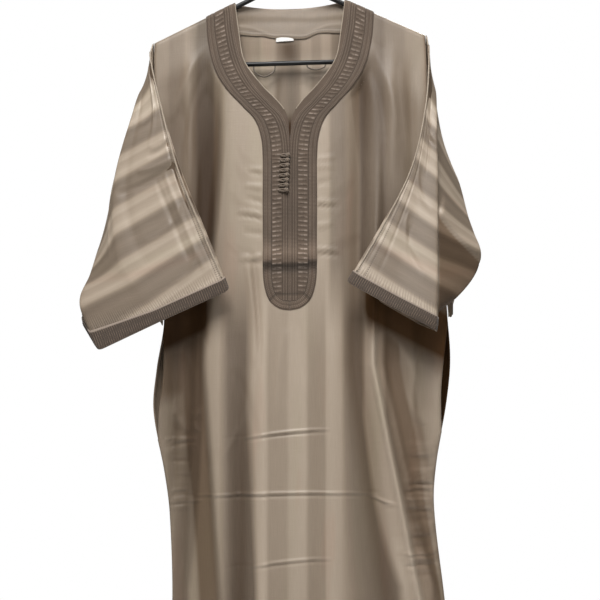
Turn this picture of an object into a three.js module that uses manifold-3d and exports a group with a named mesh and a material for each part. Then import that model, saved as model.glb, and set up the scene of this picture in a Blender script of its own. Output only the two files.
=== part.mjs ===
// A man's gandoura: an ankle-length robe of satin-striped cloth with short wide sleeves and a
// braid-trimmed neck and placket, hanging on a tubular hanger.
//
// Millimetres, +Z up. The robe faces -Y. The origin is where a rail carries the hanger: the top of
// the inside of the hook. "Drop" is the distance below the origin, so z = -drop. Right and left are
// the wearer's: the right sleeve is on the -X side.
//
// Every cloth piece is a thin wall: a grid of points on its outer face, and the same points moved
// in along the normals by the cloth's thickness.

import * as THREE from "three";
import { mergeVertices } from "three/addons/utils/BufferGeometryUtils.js";
import Module from "manifold-3d";

// ---- Driving dimensions -------------------------------------------------------------------------

const CLOTH = 1.6;
const BRAID = 2.2;
const FACING = 1.2;
const LABEL = 1.0;
const CUFF_TRIM = 1.4;
const SEAM_GAP = 0.4;
const TRIM_GAP = 0.9;

const NECK_HALF = 88;
const NECK_DROP = 118;
const TIP_HALF = 216;
const TIP_DROP = 178;
const TILT = 0.03;
const SLIT_DROP = 365;
const UNDERARM_DROP = 630;
const HEM_DROP = 1518;
const ARMHOLE_HALF = 14;
const SHOULDER_ROUND = 5.8;
const SHOULDER_FALL = 130;
const VALLEY_FLOOR = 2.6;
const BACK_NECK_DROP = 126;
const BACK_NECK_SAG = 14;
const PLACKET_END = 611;

const SIDE_SLIT = { top: 640, end: 812, halfGap: 5, setBack: 13 };

const ROD_RADIUS = 3.5;
const HOOK_ROD = 3;
const HANGER = { tipX: 194, barDrop: 216, apexRound: 14, hookRadius: 23, stemDrop: 91 };

const KNOTS = { count: 8, first: 366, pitch: 7.9, x: -3.2, radius: 3.5 };
const LOOP = { length: 9.5, radius: 1.2 };

const COLOURS = {
  cloth: 0xa69482,
  braid: 0x6b5b4e,
  cuff: 0x62534a,
  facing: 0xa39685,
  label: 0xf2f0ec,
  knot: 0x7a6a5c,
  hanger: 0x0c0a0a,
  strapLoop: 0x6f665a,
};

// ---- Small tools --------------------------------------------------------------------------------

const columns = (names, rows) => rows.map((row) => Object.fromEntries(names.map((n, i) => [n, row[i]])));
const clamp01 = (t) => Math.min(1, Math.max(0, t));
const smooth = (t) => clamp01(t) ** 2 * (3 - 2 * clamp01(t));
const mix = (a, b, t) => a + (b - a) * t;
const hump = (t) => Math.sin(Math.PI * clamp01(t));

// A smooth curve through a table's rows: cubic Hermite, with each row's slope the mean of its sides.
function curveOf(rows, at, key) {
  const slope = (i) => {
    const a = rows[Math.max(0, i - 1)];
    const b = rows[Math.min(rows.length - 1, i + 1)];
    return (b[key] - a[key]) / (b[at] - a[at]);
  };
  const slopes = rows.map((_, i) => slope(i));
  return (x) => {
    let i = 0;
    while (i < rows.length - 2 && x > rows[i + 1][at]) i += 1;
    const a = rows[i];
    const b = rows[i + 1];
    const h = b[at] - a[at];
    const t = clamp01((x - a[at]) / h);
    const [t2, t3] = [t * t, t * t * t];
    return (
      a[key] * (2 * t3 - 3 * t2 + 1) +
      b[key] * (3 * t2 - 2 * t3) +
      slopes[i] * h * (t3 - 2 * t2 + t) +
      slopes[i + 1] * h * (t3 - t2)
    );
  };
}

// A path of [x, drop] points as a function of its share of length, 0 to 1.
function pathOf(points) {
  const lengths = [0];
  for (let i = 1; i < points.length; i += 1) {
    const step = Math.hypot(points[i][0] - points[i - 1][0], points[i][1] - points[i - 1][1]);
    lengths.push(lengths[i - 1] + step);
  }
  const total = lengths[lengths.length - 1];
  return (t) => {
    const want = clamp01(t) * total;
    let i = 0;
    while (i < points.length - 2 && want > lengths[i + 1]) i += 1;
    const f = (want - lengths[i]) / (lengths[i + 1] - lengths[i]);
    return [mix(points[i][0], points[i + 1][0], f), mix(points[i][1], points[i + 1][1], f)];
  };
}

// ---- Walls --------------------------------------------------------------------------------------

// The outer points of a grid: point(u, v) over lists of u and v.
const gridOf = (us, vs, point) => vs.map((v) => us.map((u) => new THREE.Vector3(...point(u, v))));

// Unit normals of a grid: at each point, the mean of the faces that meet there.
function normalsOf(grid, closed) {
  const rows = grid.length;
  const cols = grid[0].length;
  const normals = grid.map((row) => row.map(() => new THREE.Vector3()));
  for (let j = 0; j < rows - 1; j += 1) {
    for (let i = 0; i < (closed ? cols : cols - 1); i += 1) {
      const next = (i + 1) % cols;
      const fall = grid[j + 1][next].clone().sub(grid[j][i]);
      const rise = grid[j][next].clone().sub(grid[j + 1][i]);
      const face = rise.cross(fall).normalize();
      [normals[j], normals[j + 1]].forEach((pair) => {
        pair[i].add(face);
        pair[next].add(face);
      });
    }
  }
  normals.forEach((row) => row.forEach((n) => n.normalize()));
  return normals;
}

const moved = (grid, normals, by) =>
  grid.map((row, j) => row.map((p, i) => p.clone().addScaledVector(normals[j][i], by)));

// A closed solid between two grids of the same size. Closed grids join their last column to the first.
function solidBetween(outer, inner, closed) {
  const rows = outer.length;
  const cols = outer[0].length;
  const positions = [];
  [...outer, ...inner].forEach((row) => row.forEach((p) => positions.push(p.x, p.y, p.z)));
  const at = (layer, j, i) => layer * rows * cols + j * cols + (i % cols);
  const index = [];
  const quad = (a, b, c, d) => index.push(a, b, c, a, c, d);
  const spans = closed ? cols : cols - 1;
  for (let j = 0; j < rows - 1; j += 1) {
    for (let i = 0; i < spans; i += 1) {
      quad(at(0, j, i), at(0, j, i + 1), at(0, j + 1, i + 1), at(0, j + 1, i));
      quad(at(1, j, i), at(1, j + 1, i), at(1, j + 1, i + 1), at(1, j, i + 1));
    }
  }
  for (let i = 0; i < spans; i += 1) {
    quad(at(0, 0, i + 1), at(0, 0, i), at(1, 0, i), at(1, 0, i + 1));
    quad(at(0, rows - 1, i), at(0, rows - 1, i + 1), at(1, rows - 1, i + 1), at(1, rows - 1, i));
  }
  for (let j = 0; j < rows - 1 && !closed; j += 1) {
    quad(at(0, j, 0), at(0, j + 1, 0), at(1, j + 1, 0), at(1, j, 0));
    quad(at(0, j + 1, cols - 1), at(0, j, cols - 1), at(1, j, cols - 1), at(1, j + 1, cols - 1));
  }
  return facingOut(positions, index);
}

// A geometry with its faces turned to point out, told by the sign of its volume.
function facingOut(positions, index) {
  const geometry = new THREE.BufferGeometry();
  geometry.setAttribute("position", new THREE.Float32BufferAttribute(positions, 3));
  const corner = (n) => new THREE.Vector3().fromArray(positions, index[n] * 3);
  let volume = 0;
  for (let n = 0; n < index.length; n += 3) volume += corner(n).dot(corner(n + 1).cross(corner(n + 2)));
  const turned = [];
  for (let n = 0; n < index.length; n += 3) {
    if (volume < 0) turned.push(index[n], index[n + 2], index[n + 1]);
    else turned.push(index[n], index[n + 1], index[n + 2]);
  }
  geometry.setIndex(turned);
  geometry.computeVertexNormals();
  return geometry;
}

// A grid with its normals turned to the side that is outside: away from "behind", or away from
// each ring's own middle on a closed grid.
function cloak(us, vs, point, { towards, closed = false }) {
  const grid = gridOf(us, vs, point);
  const normals = normalsOf(grid, closed);
  let agree = 0;
  grid.forEach((row, j) => {
    const middle = row.reduce((sum, p) => sum.add(p), new THREE.Vector3()).divideScalar(row.length);
    row.forEach((p, i) => {
      agree += normals[j][i].dot(towards ?? p.clone().sub(middle));
    });
  });
  if (agree < 0) normals.forEach((row) => row.forEach((normal) => normal.negate()));
  return { grid, normals, closed };
}

// The wall of a cloak between "from" and "to" millimetres out of its face, over rows "first" on.
// "keep" holds each point on its own side of a seam.
function wall({ grid, normals, closed }, from, to, { first = 0, keep = (p) => p } = {}) {
  const layer = (by) => moved(grid.slice(first), normals.slice(first), by).map((row) => row.map(keep));
  return solidBetween(layer(to), layer(from), closed);
}

const FRONTWARD = new THREE.Vector3(0, -1, 0);
const BACKWARD = new THREE.Vector3(0, 1, 0);
const held = (value, limit, side) => (side < 0 ? Math.min(value, -limit) : Math.max(value, limit));
const keepFront = (p) => p.setY(held(p.y, SEAM_GAP / 2, -1));
const keepBack = (p) => p.setY(held(p.y, SEAM_GAP / 2, 1));

const steps = (n) => Array.from({ length: n + 1 }, (_, i) => i / n);

// ---- Neckline -----------------------------------------------------------------------------------

// The edges of the neck trim from the shoulder down to the foot of the placket: the inner edge is
// the neckline and the closed slit, and the outer edge is the trim's border. Wearer's left, +X.
const TRIM = columns(
  ["inX", "inDrop", "outX", "outDrop"],
  [
    [88, 118, 134, 139.6],
    [82, 164, 131, 180],
    [73, 212, 121, 222],
    [54, 250, 102, 256],
    [24, 281, 77, 285],
    [8, 303, 56, 308],
    [2.4, 332, 46, 336],
    [0.6, 372, 43, 372],
    [0.6, 440, 43, 440],
    [0.6, 508, 42.5, 508],
    [0.6, 548, 42, 560],
    [0.6, 563, 34, 592],
    [0.6, 572, 18, 607],
    [0.6, 578, 0.6, PLACKET_END],
  ],
);
const NECK_ROWS = 7;
const trimReach = curveOf(TRIM, "outDrop", "outX");

// ---- The body: sections and folds ---------------------------------------------------------------

// Half widths to each side and depths to front and back of the hanging body, at each drop.
const BODY = columns(
  ["drop", "right", "left", "front", "back"],
  [
    [118, 216, 216, 8, 9],
    [200, 217, 217, 11, 13],
    [300, 213, 222, 19, 22],
    [420, 206, 232, 27, 30],
    [540, 199, 243, 33, 36],
    [630, 202, 252, 37, 40],
    [700, 214, 257, 41, 44],
    [765, 219, 251, 44, 46],
    [860, 201, 234, 47, 49],
    [930, 192, 230, 49, 51],
    [1080, 188, 247, 54, 56],
    [1300, 199, 270, 60, 62],
    [1518, 212, 288, 66, 68],
  ],
);
const bodyRight = curveOf(BODY, "drop", "right");
const bodyLeft = curveOf(BODY, "drop", "left");
const bodyFront = curveOf(BODY, "drop", "front");
const bodyBack = curveOf(BODY, "drop", "back");

// Vertical folds. x is the fold's place at drops 350, 700 and 1100; it is a ridge "rise" deep and
// "width" wide, and the cloth on its outer side lies "step" further in. It grows in between the
// drops "from" and "full", and fades out between "fade" and "gone".
const FOLD_COLUMNS = ["x350", "x700", "x1100", "width", "rise", "step", "from", "full", "fade", "gone"];
const FRONT_FOLDS = columns(FOLD_COLUMNS, [
  [-109, -134, -105, 9, 4, 17, 190, 330, 1600, 1700],
  [-150, -150, -168, 9, 2, 7, 500, 700, 1600, 1700],
  [-80, -80, -79, 15, -7, 0, 700, 980, 1600, 1700],
  [-160, -166, -166, 9, 6, 0, 150, 230, 380, 470],
  [-133, -140, -140, 10, -7, 0, 200, 320, 460, 560],
  [112, 104, 108, 17, -11, 0, 150, 260, 1600, 1700],
  [140, 127, 133, 10, 9, 4, 300, 600, 1600, 1700],
  [150, 146, 238, 10, 3, 7, 560, 720, 1100, 1300],
  [163, 176, 180, 10, 5, 0, 140, 200, 330, 460],
  [193, 200, 200, 9, -5, 0, 170, 230, 400, 520],
  [-20, -26, -40, 30, 5, 0, 900, 1250, 1600, 1700],
  [60, 62, 70, 26, 6, 0, 900, 1250, 1600, 1700],
  [180, 196, 196, 16, -6, 0, 900, 1150, 1600, 1700],
]);
const BACK_FOLDS = columns(FOLD_COLUMNS, [
  [-150, -160, -158, 18, 9, 0, 190, 420, 1600, 1700],
  [-112, -118, -112, 16, -9, 0, 190, 420, 1600, 1700],
  [-66, -72, -76, 20, 7, 0, 240, 520, 1600, 1700],
  [-18, -20, -24, 18, -8, 0, 240, 620, 1600, 1700],
  [28, 30, 34, 22, 8, 0, 260, 600, 1600, 1700],
  [82, 84, 92, 17, -10, 0, 190, 420, 1600, 1700],
  [122, 132, 146, 19, 9, 0, 190, 420, 1600, 1700],
  [178, 190, 204, 16, -8, 0, 300, 560, 1600, 1700],
]);

function foldPlace(fold, drop) {
  if (drop < 700) return mix(fold.x350, fold.x700, smooth((drop - 350) / 350));
  return mix(fold.x700, fold.x1100, clamp01((drop - 700) / 400));
}

// How far the folds move the cloth outwards at a place, ridges and steps together.
function foldRelief(folds, x, drop) {
  return folds.reduce((sum, fold) => {
    const strength = smooth((drop - fold.from) / (fold.full - fold.from));
    const left = 1 - smooth((drop - fold.fade) / (fold.gone - fold.fade));
    const place = foldPlace(fold, drop);
    const t = (x - place) / fold.width;
    const outward = Math.sign(place) * t;
    const step = -fold.step * (0.5 + 0.5 * Math.tanh(outward));
    return sum + strength * left * (fold.rise * Math.exp(-t * t) + step);
  }, 0);
}

// The line of the hanger's arms, which carries on inside the neck and stops at the tips.
const shoulderDrop = (x) =>
  mix(NECK_DROP, TIP_DROP, (Math.min(Math.abs(x), TIP_HALF) - NECK_HALF) / (TIP_HALF - NECK_HALF));
const armholeShare = (drop) => (drop - TIP_DROP) / (UNDERARM_DROP - TIP_DROP);
const armholeHalf = (drop) => ARMHOLE_HALF * Math.sqrt(hump(armholeShare(drop)));
const slitShare = (drop) => hump((drop - SIDE_SLIT.top) / (SIDE_SLIT.end - SIDE_SLIT.top));
const sideHalf = (drop) => armholeHalf(drop) + SIDE_SLIT.halfGap * slitShare(drop);
const rounded = (fall) => SHOULDER_ROUND * Math.sqrt(1 - (1 - clamp01(fall / SHOULDER_ROUND)) ** 2);

// The body's half width on the side of x's sign. The front's edge is set back along the side slits.
const halfWidth = (side, drop, setBack) =>
  (side < 0 ? bodyRight(drop) : bodyLeft(drop)) - setBack * slitShare(drop);

const backSag = (x) => BACK_NECK_SAG * Math.max(0, 1 - (x / NECK_HALF) ** 2);

// The neck trim is stiff: the front's folds begin beyond its outer edge.
const beyondTrim = (x, drop) => smooth((Math.abs(x) - trimReach(Math.min(drop, 600)) + 2) / 16);

// The front or back face at a share tau of the half width (-1 to 1) and a drop. The back sags away
// from the hanger between the neck's corners.
function bodyPoint(facing, tau, drop, folds, depthAt, setBack) {
  const x = tau * halfWidth(tau, drop, setBack);
  const fall = Math.max(0, drop - shoulderDrop(x));
  const edge = Math.sqrt(Math.max(0, 1 - tau * tau));
  const side = sideHalf(drop) + SEAM_GAP / 2;
  const full = side + (depthAt(drop) - side) * edge ** 0.6;
  const free = smooth(edge * 1.6) * smooth(fall / SHOULDER_FALL) * (facing < 0 ? beyondTrim(x, drop) : 1);
  const relief = foldRelief(folds, x, drop) * free;
  const sag = facing > 0 ? backSag(x) : 0;
  const near = Math.min(rounded(fall), Math.max(side, SHOULDER_ROUND * smooth(edge * 6))) + sag;
  const least = SEAM_GAP / 2 + VALLEY_FLOOR * smooth(edge * 6) * smooth(fall / 60);
  const depth = Math.max(mix(near, full, smooth(fall / SHOULDER_FALL)) + relief, least);
  return [x, facing * depth, -drop];
}

// ---- Panels -------------------------------------------------------------------------------------

const ROWS_NEAR_TOP = [0, 0.0012, 0.0035, 0.0075, 0.02, 0.045];
const rowsDown = (count) => [...ROWS_NEAR_TOP, ...steps(count).slice(1).map((t) => mix(0.045, 1, t))];

// Columns in shares of the half width, from the middle out, with one on the neck's corner.
const NECK_SHARE = 0.62;
const NEAR_CORNER = [0.965, 0.982, 0.994, 1];
const halfColumns = (inNeck, onShoulder) => [
  ...[...steps(inNeck).map((t) => t * 0.93), ...NEAR_CORNER].map((t) => t * NECK_SHARE),
  ...steps(onShoulder).slice(1).map((t) => mix(NECK_SHARE, 1, t)),
];
const bothSides = (half) => [...half.slice(1).map((t) => -t).reverse(), ...half];

// The front's columns start along its top edge: the neckline from the foot of the slit, then the
// shoulder. They end evenly round the hem.
const neckline = TRIM.slice(0, NECK_ROWS).map((row) => [row.inX, row.inDrop]);
const neckEdge = pathOf([[0, SLIT_DROP], ...neckline.reverse()]);
function frontEdge(u) {
  if (u <= NECK_SHARE) return neckEdge(u / NECK_SHARE);
  const x = mix(NECK_HALF, TIP_HALF, (u - NECK_SHARE) / (1 - NECK_SHARE));
  return [x, shoulderDrop(x)];
}

function frontPoint(u, v) {
  const [topX, topDrop] = frontEdge(Math.abs(u));
  const drop = mix(topDrop, HEM_DROP, v);
  const hemTau = Math.sin((Math.abs(u) * Math.PI) / 2);
  const tau = mix(topX / TIP_HALF, hemTau, smooth(v * 1.7));
  return bodyPoint(-1, Math.sign(u) * tau, drop, FRONT_FOLDS, bodyFront, SIDE_SLIT.setBack);
}

const backEdgeDrop = (x) =>
  Math.abs(x) > NECK_HALF ? shoulderDrop(x) : mix(BACK_NECK_DROP, NECK_DROP, (x / NECK_HALF) ** 2);

function backPoint(u, v) {
  const share = Math.abs(u);
  const topX =
    share < NECK_SHARE
      ? NECK_HALF * Math.sin((share / NECK_SHARE) * (Math.PI / 2))
      : mix(NECK_HALF, TIP_HALF, (share - NECK_SHARE) / (1 - NECK_SHARE));
  const drop = mix(backEdgeDrop(topX), HEM_DROP, v);
  const tau = mix(topX / TIP_HALF, Math.sin((share * Math.PI) / 2), smooth(v * 1.7));
  return bodyPoint(1, Math.sign(u) * tau, drop, BACK_FOLDS, bodyBack, 0);
}

function frontAt(x, drop) {
  const tau = x / halfWidth(x, drop, SIDE_SLIT.setBack);
  return bodyPoint(-1, tau, drop, FRONT_FOLDS, bodyFront, SIDE_SLIT.setBack);
}
const backAt = (x, drop) => bodyPoint(1, x / halfWidth(x, drop, 0), drop, BACK_FOLDS, bodyBack, 0);

const frontPanel = () =>
  wall(cloak(bothSides(halfColumns(8, 8)), rowsDown(15), frontPoint, { towards: FRONTWARD }), -CLOTH, 0, {
    keep: keepFront,
  });
const backPanel = () =>
  wall(cloak(bothSides(halfColumns(5, 7)), rowsDown(12), backPoint, { towards: BACKWARD }), -CLOTH, 0, {
    keep: keepBack,
  });

// ---- Sleeves ------------------------------------------------------------------------------------

// Each sleeve is a wide tube that falls from the hanger's tip and swings forward over the body.
// A row is a ring round it, at a share "along" its length: "top" is its top seam, which faces the
// front; "crease" and "edge" are on its outer layer, at a standing fold and at the outline; "under"
// is the underarm seam; "innerEdge" and "innerCrease" are on the layer next to the body.
// Each point is [x, drop, y].
const RING = ["along", "top", "crease", "edge", "under", "innerEdge", "innerCrease"];
const RING_AT = [0, 0.18, 0.36, 0.49, 0.51, 0.64, 0.82, 0.985, 1];
const FOLD_ROLL = 9;
const RIGHT_RINGS = columns(RING, [
  [
    0,
    [-217, 184, 0], [-211, 346, 13], [-201, 506, 13],
    [-203, 630, 0], [-201, 506, -13], [-211, 346, -13],
  ],
  [
    0.1,
    [-222, 206, -10], [-239, 288, 8], [-226, 480, 20],
    [-212, 629, 4], [-214, 500, -12], [-223, 330, -16],
  ],
  [
    0.25,
    [-203, 290, -30], [-259, 298, -20], [-258, 440, 14],
    [-228, 628, 8], [-230, 470, -12], [-222, 350, -20],
  ],
  [
    0.5,
    [-176, 388, -44], [-286, 418, -26], [-298, 500, 4],
    [-268, 626, 8], [-262, 500, -14], [-226, 428, -30],
  ],
  [
    0.75,
    [-136, 487, -54], [-266, 534, -44], [-325, 552, -20],
    [-304, 604, 6], [-292, 544, -22], [-238, 524, -38],
  ],
  [
    0.88,
    [-116, 534, -61], [-232, 584, -54], [-326, 606, -36],
    [-332, 604, -2], [-302, 594, -28], [-216, 572, -46],
  ],
  [
    1,
    [-96, 581, -66], [-200, 628, -60], [-298, 674, -52],
    [-330, 634, -10], [-282, 652, -38], [-196, 620, -52],
  ],
]);
const LEFT_RINGS = columns(RING, [
  [
    0,
    [217, 172, 0], [220, 346, 13], [239, 506, 13],
    [252, 630, 0], [239, 506, -13], [220, 346, -13],
  ],
  [
    0.1,
    [221, 196, -10], [238, 290, 8], [256, 460, 18],
    [260, 620, 4], [248, 490, -14], [230, 330, -18],
  ],
  [
    0.25,
    [214, 284, -32], [228, 304, -24], [268, 400, 12],
    [264, 610, 8], [254, 440, -14], [229, 346, -20],
  ],
  [
    0.5,
    [190, 385, -48], [230, 410, -42], [289, 458, 4],
    [277, 596, 8], [264, 470, -18], [234, 430, -30],
  ],
  [
    0.75,
    [145, 479, -64], [230, 524, -62], [295, 546, -22],
    [268, 596, -4], [262, 552, -30], [222, 512, -50],
  ],
  [
    0.88,
    [117, 526, -73], [230, 588, -74], [258, 600, -46],
    [226, 604, -32], [228, 590, -48], [219, 580, -62],
  ],
  [
    1,
    [91, 569, -82], [227, 644, -86], [200, 632, -54],
    [138, 596, -54], [200, 622, -63], [216, 630, -74],
  ],
]);

// A point moved by the roll of the fold there, towards the layer next to the body.
function rolled(point, outer, inner, roll) {
  const apart = inner.map((value, n) => value - outer[n]);
  const length = Math.hypot(...apart) || 1;
  return point.map((value, n) => value + (roll * apart[n]) / length);
}

// One point of a ring's polygon, at a share s of the way round.
function ringPoint(ring, s) {
  const roll = FOLD_ROLL * smooth(ring.along / 0.25);
  const underRoll = rolled(ring.under, ring.edge, ring.innerEdge, roll);
  const topRoll = rolled(ring.top, ring.crease, ring.innerCrease, roll);
  const { top, crease, edge, under, innerEdge, innerCrease } = ring;
  const corners = [top, crease, edge, under, underRoll, innerEdge, innerCrease, topRoll, top];
  const round = ((s % 1) + 1) % 1;
  let i = 0;
  while (round > RING_AT[i + 1]) i += 1;
  const t = (round - RING_AT[i]) / (RING_AT[i + 1] - RING_AT[i]);
  return corners[i].map((value, n) => mix(value, corners[i + 1][n], t));
}

// The polygon with its corners rounded: each point is the weighted mean of five along it.
function softRing(ring, s) {
  const taps = [1, 2, 3, 2, 1];
  const reach = 0.006;
  const sum = [0, 0, 0];
  taps.forEach((weight, n) => {
    ringPoint(ring, s + (n - 2) * reach).forEach((value, axis) => {
      sum[axis] += (weight * value) / 9;
    });
  });
  return sum;
}

// The armhole: down the back's edge, round the underarm and up the front's edge.
function armholePoint(side, s) {
  const share = s < 0.5 ? s * 2 : 2 - s * 2;
  const drop = mix(TIP_DROP, UNDERARM_DROP, share);
  const depth = (s < 0.5 ? 1 : -1) * (armholeHalf(drop) + SEAM_GAP / 2);
  const x = side * (halfWidth(side, drop, 0) + SEAM_GAP + CLOTH);
  return [x, drop - TILT * x, depth - (s < 0.5 ? 1 : -1) * (CLOTH / 2)];
}

// A sleeve's outer face at a share s round it and k along it: the rings joined by smooth curves,
// and drawn to the armhole's own line near its top.
function sleevePoint(side, rings, s, k) {
  const drawn = rings.map((ring) => {
    const [x, drop, y] = softRing(ring, s);
    return { along: ring.along, x, drop, y };
  });
  const [x, drop, y] = ["x", "drop", "y"].map((key) => curveOf(drawn, "along", key)(k));
  const pull = (1 - smooth(k / 0.1)) ** 2;
  const first = drawn[0];
  const [ax, aDrop, aY] = armholePoint(side, s);
  return [x + (ax - first.x) * pull, y + (aY - first.y) * pull, -(drop + (aDrop - first.drop) * pull)];
}

// Shares round a sleeve, closer together where the cloth rolls over at its top and underarm folds.
const ROUND_SLEEVE = [
  [0, 0.012, 0.04],
  steps(9).map((t) => mix(0.08, 0.44, t)),
  [0.47, 0.488, 0.5, 0.512, 0.53],
  steps(9).map((t) => mix(0.565, 0.93, t)),
  [0.96, 0.976, 0.989],
].flat();
const CUFF_FROM = 0.93;
const SLEEVE_ROWS = [0, 0.035, 0.08, 0.14, 0.2, 0.28, 0.37, 0.46, 0.55, 0.64, 0.73, 0.81, 0.88, CUFF_FROM];
SLEEVE_ROWS.push((CUFF_FROM + 1) / 2, 1);

const sleeveCloak = (side, rings) =>
  cloak(ROUND_SLEEVE, SLEEVE_ROWS, (s, k) => sleevePoint(side, rings, s, k), { closed: true });
const sleeve = (side, rings) => wall(sleeveCloak(side, rings), -CLOTH, 0);
const cuffTrim = (side, rings) =>
  wall(sleeveCloak(side, rings), SEAM_GAP, SEAM_GAP + CUFF_TRIM, { first: SLEEVE_ROWS.indexOf(CUFF_FROM) });

// ---- Neck trim, facing, label -------------------------------------------------------------------

function neckTrim(side) {
  const at = (key) => curveOf(TRIM.map((row, n) => ({ ...row, n })), "n", key);
  const [inX, inDrop, outX, outDrop] = ["inX", "inDrop", "outX", "outDrop"].map(at);
  const last = TRIM.length - 1;
  const point = (across, t) => {
    const n = t * last;
    return frontAt(side * mix(inX(n), outX(n), across), mix(inDrop(n), outDrop(n), across));
  };
  const down = [0, 0.004, 0.01, 0.018, 0.03, 0.05, ...steps(28).slice(2)];
  const keep = (p) => keepFront(p).setX(held(p.x, 0.4, side));
  return wall(cloak(steps(4), down, point, { towards: FRONTWARD }), TRIM_GAP, TRIM_GAP + BRAID, { keep });
}

// The band round the back of the neck. Its outer edge falls from the shoulder to the centre back.
function backTrim() {
  const outer = pathOf([
    [-134, 139.6],
    [-104, 163],
    [-60, 171],
    [0, 173],
    [60, 171],
    [104, 163],
    [134, 139.6],
  ]);
  const point = (t, across) => {
    const innerX = mix(-NECK_HALF, NECK_HALF, t);
    const [outerX, outerDrop] = outer(t);
    return backAt(mix(innerX, outerX, across), mix(backEdgeDrop(innerX), outerDrop, across));
  };
  const half = [0, 0.005, 0.012, 0.025, 0.05, 0.1, 0.2, 0.3, 0.4, 0.5];
  const across = [...half, ...half.slice(0, -1).reverse().map((t) => 1 - t)];
  const down = [0, 0.1, 0.25, 0.6, 1];
  const band = cloak(across, down, point, { towards: BACKWARD });
  return wall(band, TRIM_GAP, TRIM_GAP + BRAID, { keep: keepBack });
}

const FACING_HALF = 76;
const facingFoot = (x) => 176 - 8 * (x / FACING_HALF) ** 2 + 2 * Math.sin(x / 13);

function backFacing() {
  const point = (t, v) => {
    const x = mix(-FACING_HALF, FACING_HALF, t);
    return backAt(x, mix(backEdgeDrop(x) + 7, facingFoot(x), v));
  };
  const inside = CLOTH + SEAM_GAP;
  return wall(cloak(steps(14), steps(3), point, { towards: BACKWARD }), -inside - FACING, -inside);
}

function neckLabel() {
  const point = (t, v) => backAt(mix(-22, 6, t), mix(179.5, 193, v));
  const inside = CLOTH + SEAM_GAP;
  return wall(cloak(steps(2), steps(2), point, { towards: BACKWARD }), -inside - LABEL, -inside);
}

// ---- Knot buttons and their loops ---------------------------------------------------------------

const knotDrop = (n) => KNOTS.first + n * KNOTS.pitch;
const trimFace = (x, drop) => frontAt(x, drop)[1] - TRIM_GAP - BRAID;

function knotButton(n) {
  const ball = new THREE.SphereGeometry(KNOTS.radius, 8, 5);
  ball.rotateX(Math.PI / 2);
  const x = KNOTS.x - n * 0.35;
  ball.translate(x, trimFace(x, knotDrop(n)) - KNOTS.radius - SEAM_GAP, -knotDrop(n));
  return ball;
}

function knotLoop(n) {
  const bar = new THREE.CapsuleGeometry(LOOP.radius, LOOP.length - 2 * LOOP.radius, 2, 8);
  bar.rotateZ(Math.PI / 2);
  const x = KNOTS.x - n * 0.35 - KNOTS.radius - 0.5 - LOOP.length / 2;
  bar.translate(x, trimFace(x, knotDrop(n)) - LOOP.radius - SEAM_GAP, -knotDrop(n));
  return bar;
}

// ---- Hanger -------------------------------------------------------------------------------------

// A tube of round section along a closed loop of points in the XZ plane.
function loopTube(points, radius, sides) {
  const curve = new THREE.CatmullRomCurve3(points, true, "centripetal");
  const count = Math.round(points.length * 1.5);
  const point = (u, v) => {
    const centre = curve.getPoint(u);
    const along = curve.getTangent(u);
    const across = new THREE.Vector3(-along.z, 0, along.x);
    const angle = v * 2 * Math.PI;
    return centre
      .addScaledVector(across, radius * Math.cos(angle))
      .add(new THREE.Vector3(0, radius * Math.sin(angle), 0))
      .toArray();
  };
  const rings = steps(count).slice(0, count);
  const round = steps(sides).slice(0, sides);
  const positions = rings.flatMap((u) => round.flatMap((v) => point(u, v)));
  const index = [];
  rings.forEach((_, j) =>
    round.forEach((__, i) => {
      const at = (a, b) => ((j + a) % count) * sides + ((i + b) % sides);
      index.push(at(0, 0), at(1, 0), at(1, 1), at(0, 0), at(1, 1), at(0, 1));
    }),
  );
  return facingOut(positions, index);
}

// A round rod along an open path.
function rod(points, radius, sides, stepsAlong) {
  const section = new THREE.Shape();
  for (let i = 0; i < sides; i += 1) {
    const angle = (i / sides) * 2 * Math.PI;
    const [a, b] = [radius * Math.cos(angle), radius * Math.sin(angle)];
    if (i === 0) section.moveTo(a, b);
    else section.lineTo(a, b);
  }
  const path = new THREE.CatmullRomCurve3(points.map((p) => new THREE.Vector3(...p)), false, "centripetal");
  return new THREE.ExtrudeGeometry(section, { steps: stepsAlong, extrudePath: path, curveSegments: 1 });
}

// The frame: two sloping arms from a rounded apex, round turns at the tips, and the bar below.
function frameLoop() {
  const slope = Math.atan2(TIP_DROP - NECK_DROP, TIP_HALF - NECK_HALF);
  const armDrop = (x) => shoulderDrop(x) + SHOULDER_ROUND / Math.cos(slope);
  const bend = (HANGER.barDrop - armDrop(HANGER.tipX)) / (1 + Math.cos(slope));
  const centre = [HANGER.tipX - bend * Math.sin(slope), HANGER.barDrop - bend];
  const turn = [-0.42, -0.1, 0.35, 0.8, 1.2].map((angle) => [
    centre[0] + bend * Math.cos(angle),
    centre[1] + bend * Math.sin(angle),
  ]);
  const half = [
    [HANGER.apexRound, armDrop(HANGER.apexRound) - 1.5],
    [60, armDrop(60)],
    [130, armDrop(130)],
    [HANGER.tipX - 6, armDrop(HANGER.tipX - 6)],
    ...turn,
    [centre[0] - 8, HANGER.barDrop],
    [90, HANGER.barDrop],
  ];
  const mirrored = half.map(([x, drop]) => [-x, drop]).reverse();
  return [...half, ...mirrored].map(([x, drop]) => new THREE.Vector3(x, 0, -drop));
}

// The hook: up from the apex, round over the rail and down to its free end.
function hookPath() {
  const r = HANGER.hookRadius;
  const arc = [-55, -20, 15, 50, 90, 130, 165, 195].map((degrees) => {
    const angle = THREE.MathUtils.degToRad(degrees);
    return [r * Math.cos(angle), 0, r * Math.sin(angle) - r + HOOK_ROD];
  });
  return [[0, 0, -HANGER.stemDrop], [0, 0, -HANGER.stemDrop + 18], [4, 0, -50], ...arc];
}

const wasm = await Module();
wasm.setup();

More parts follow.
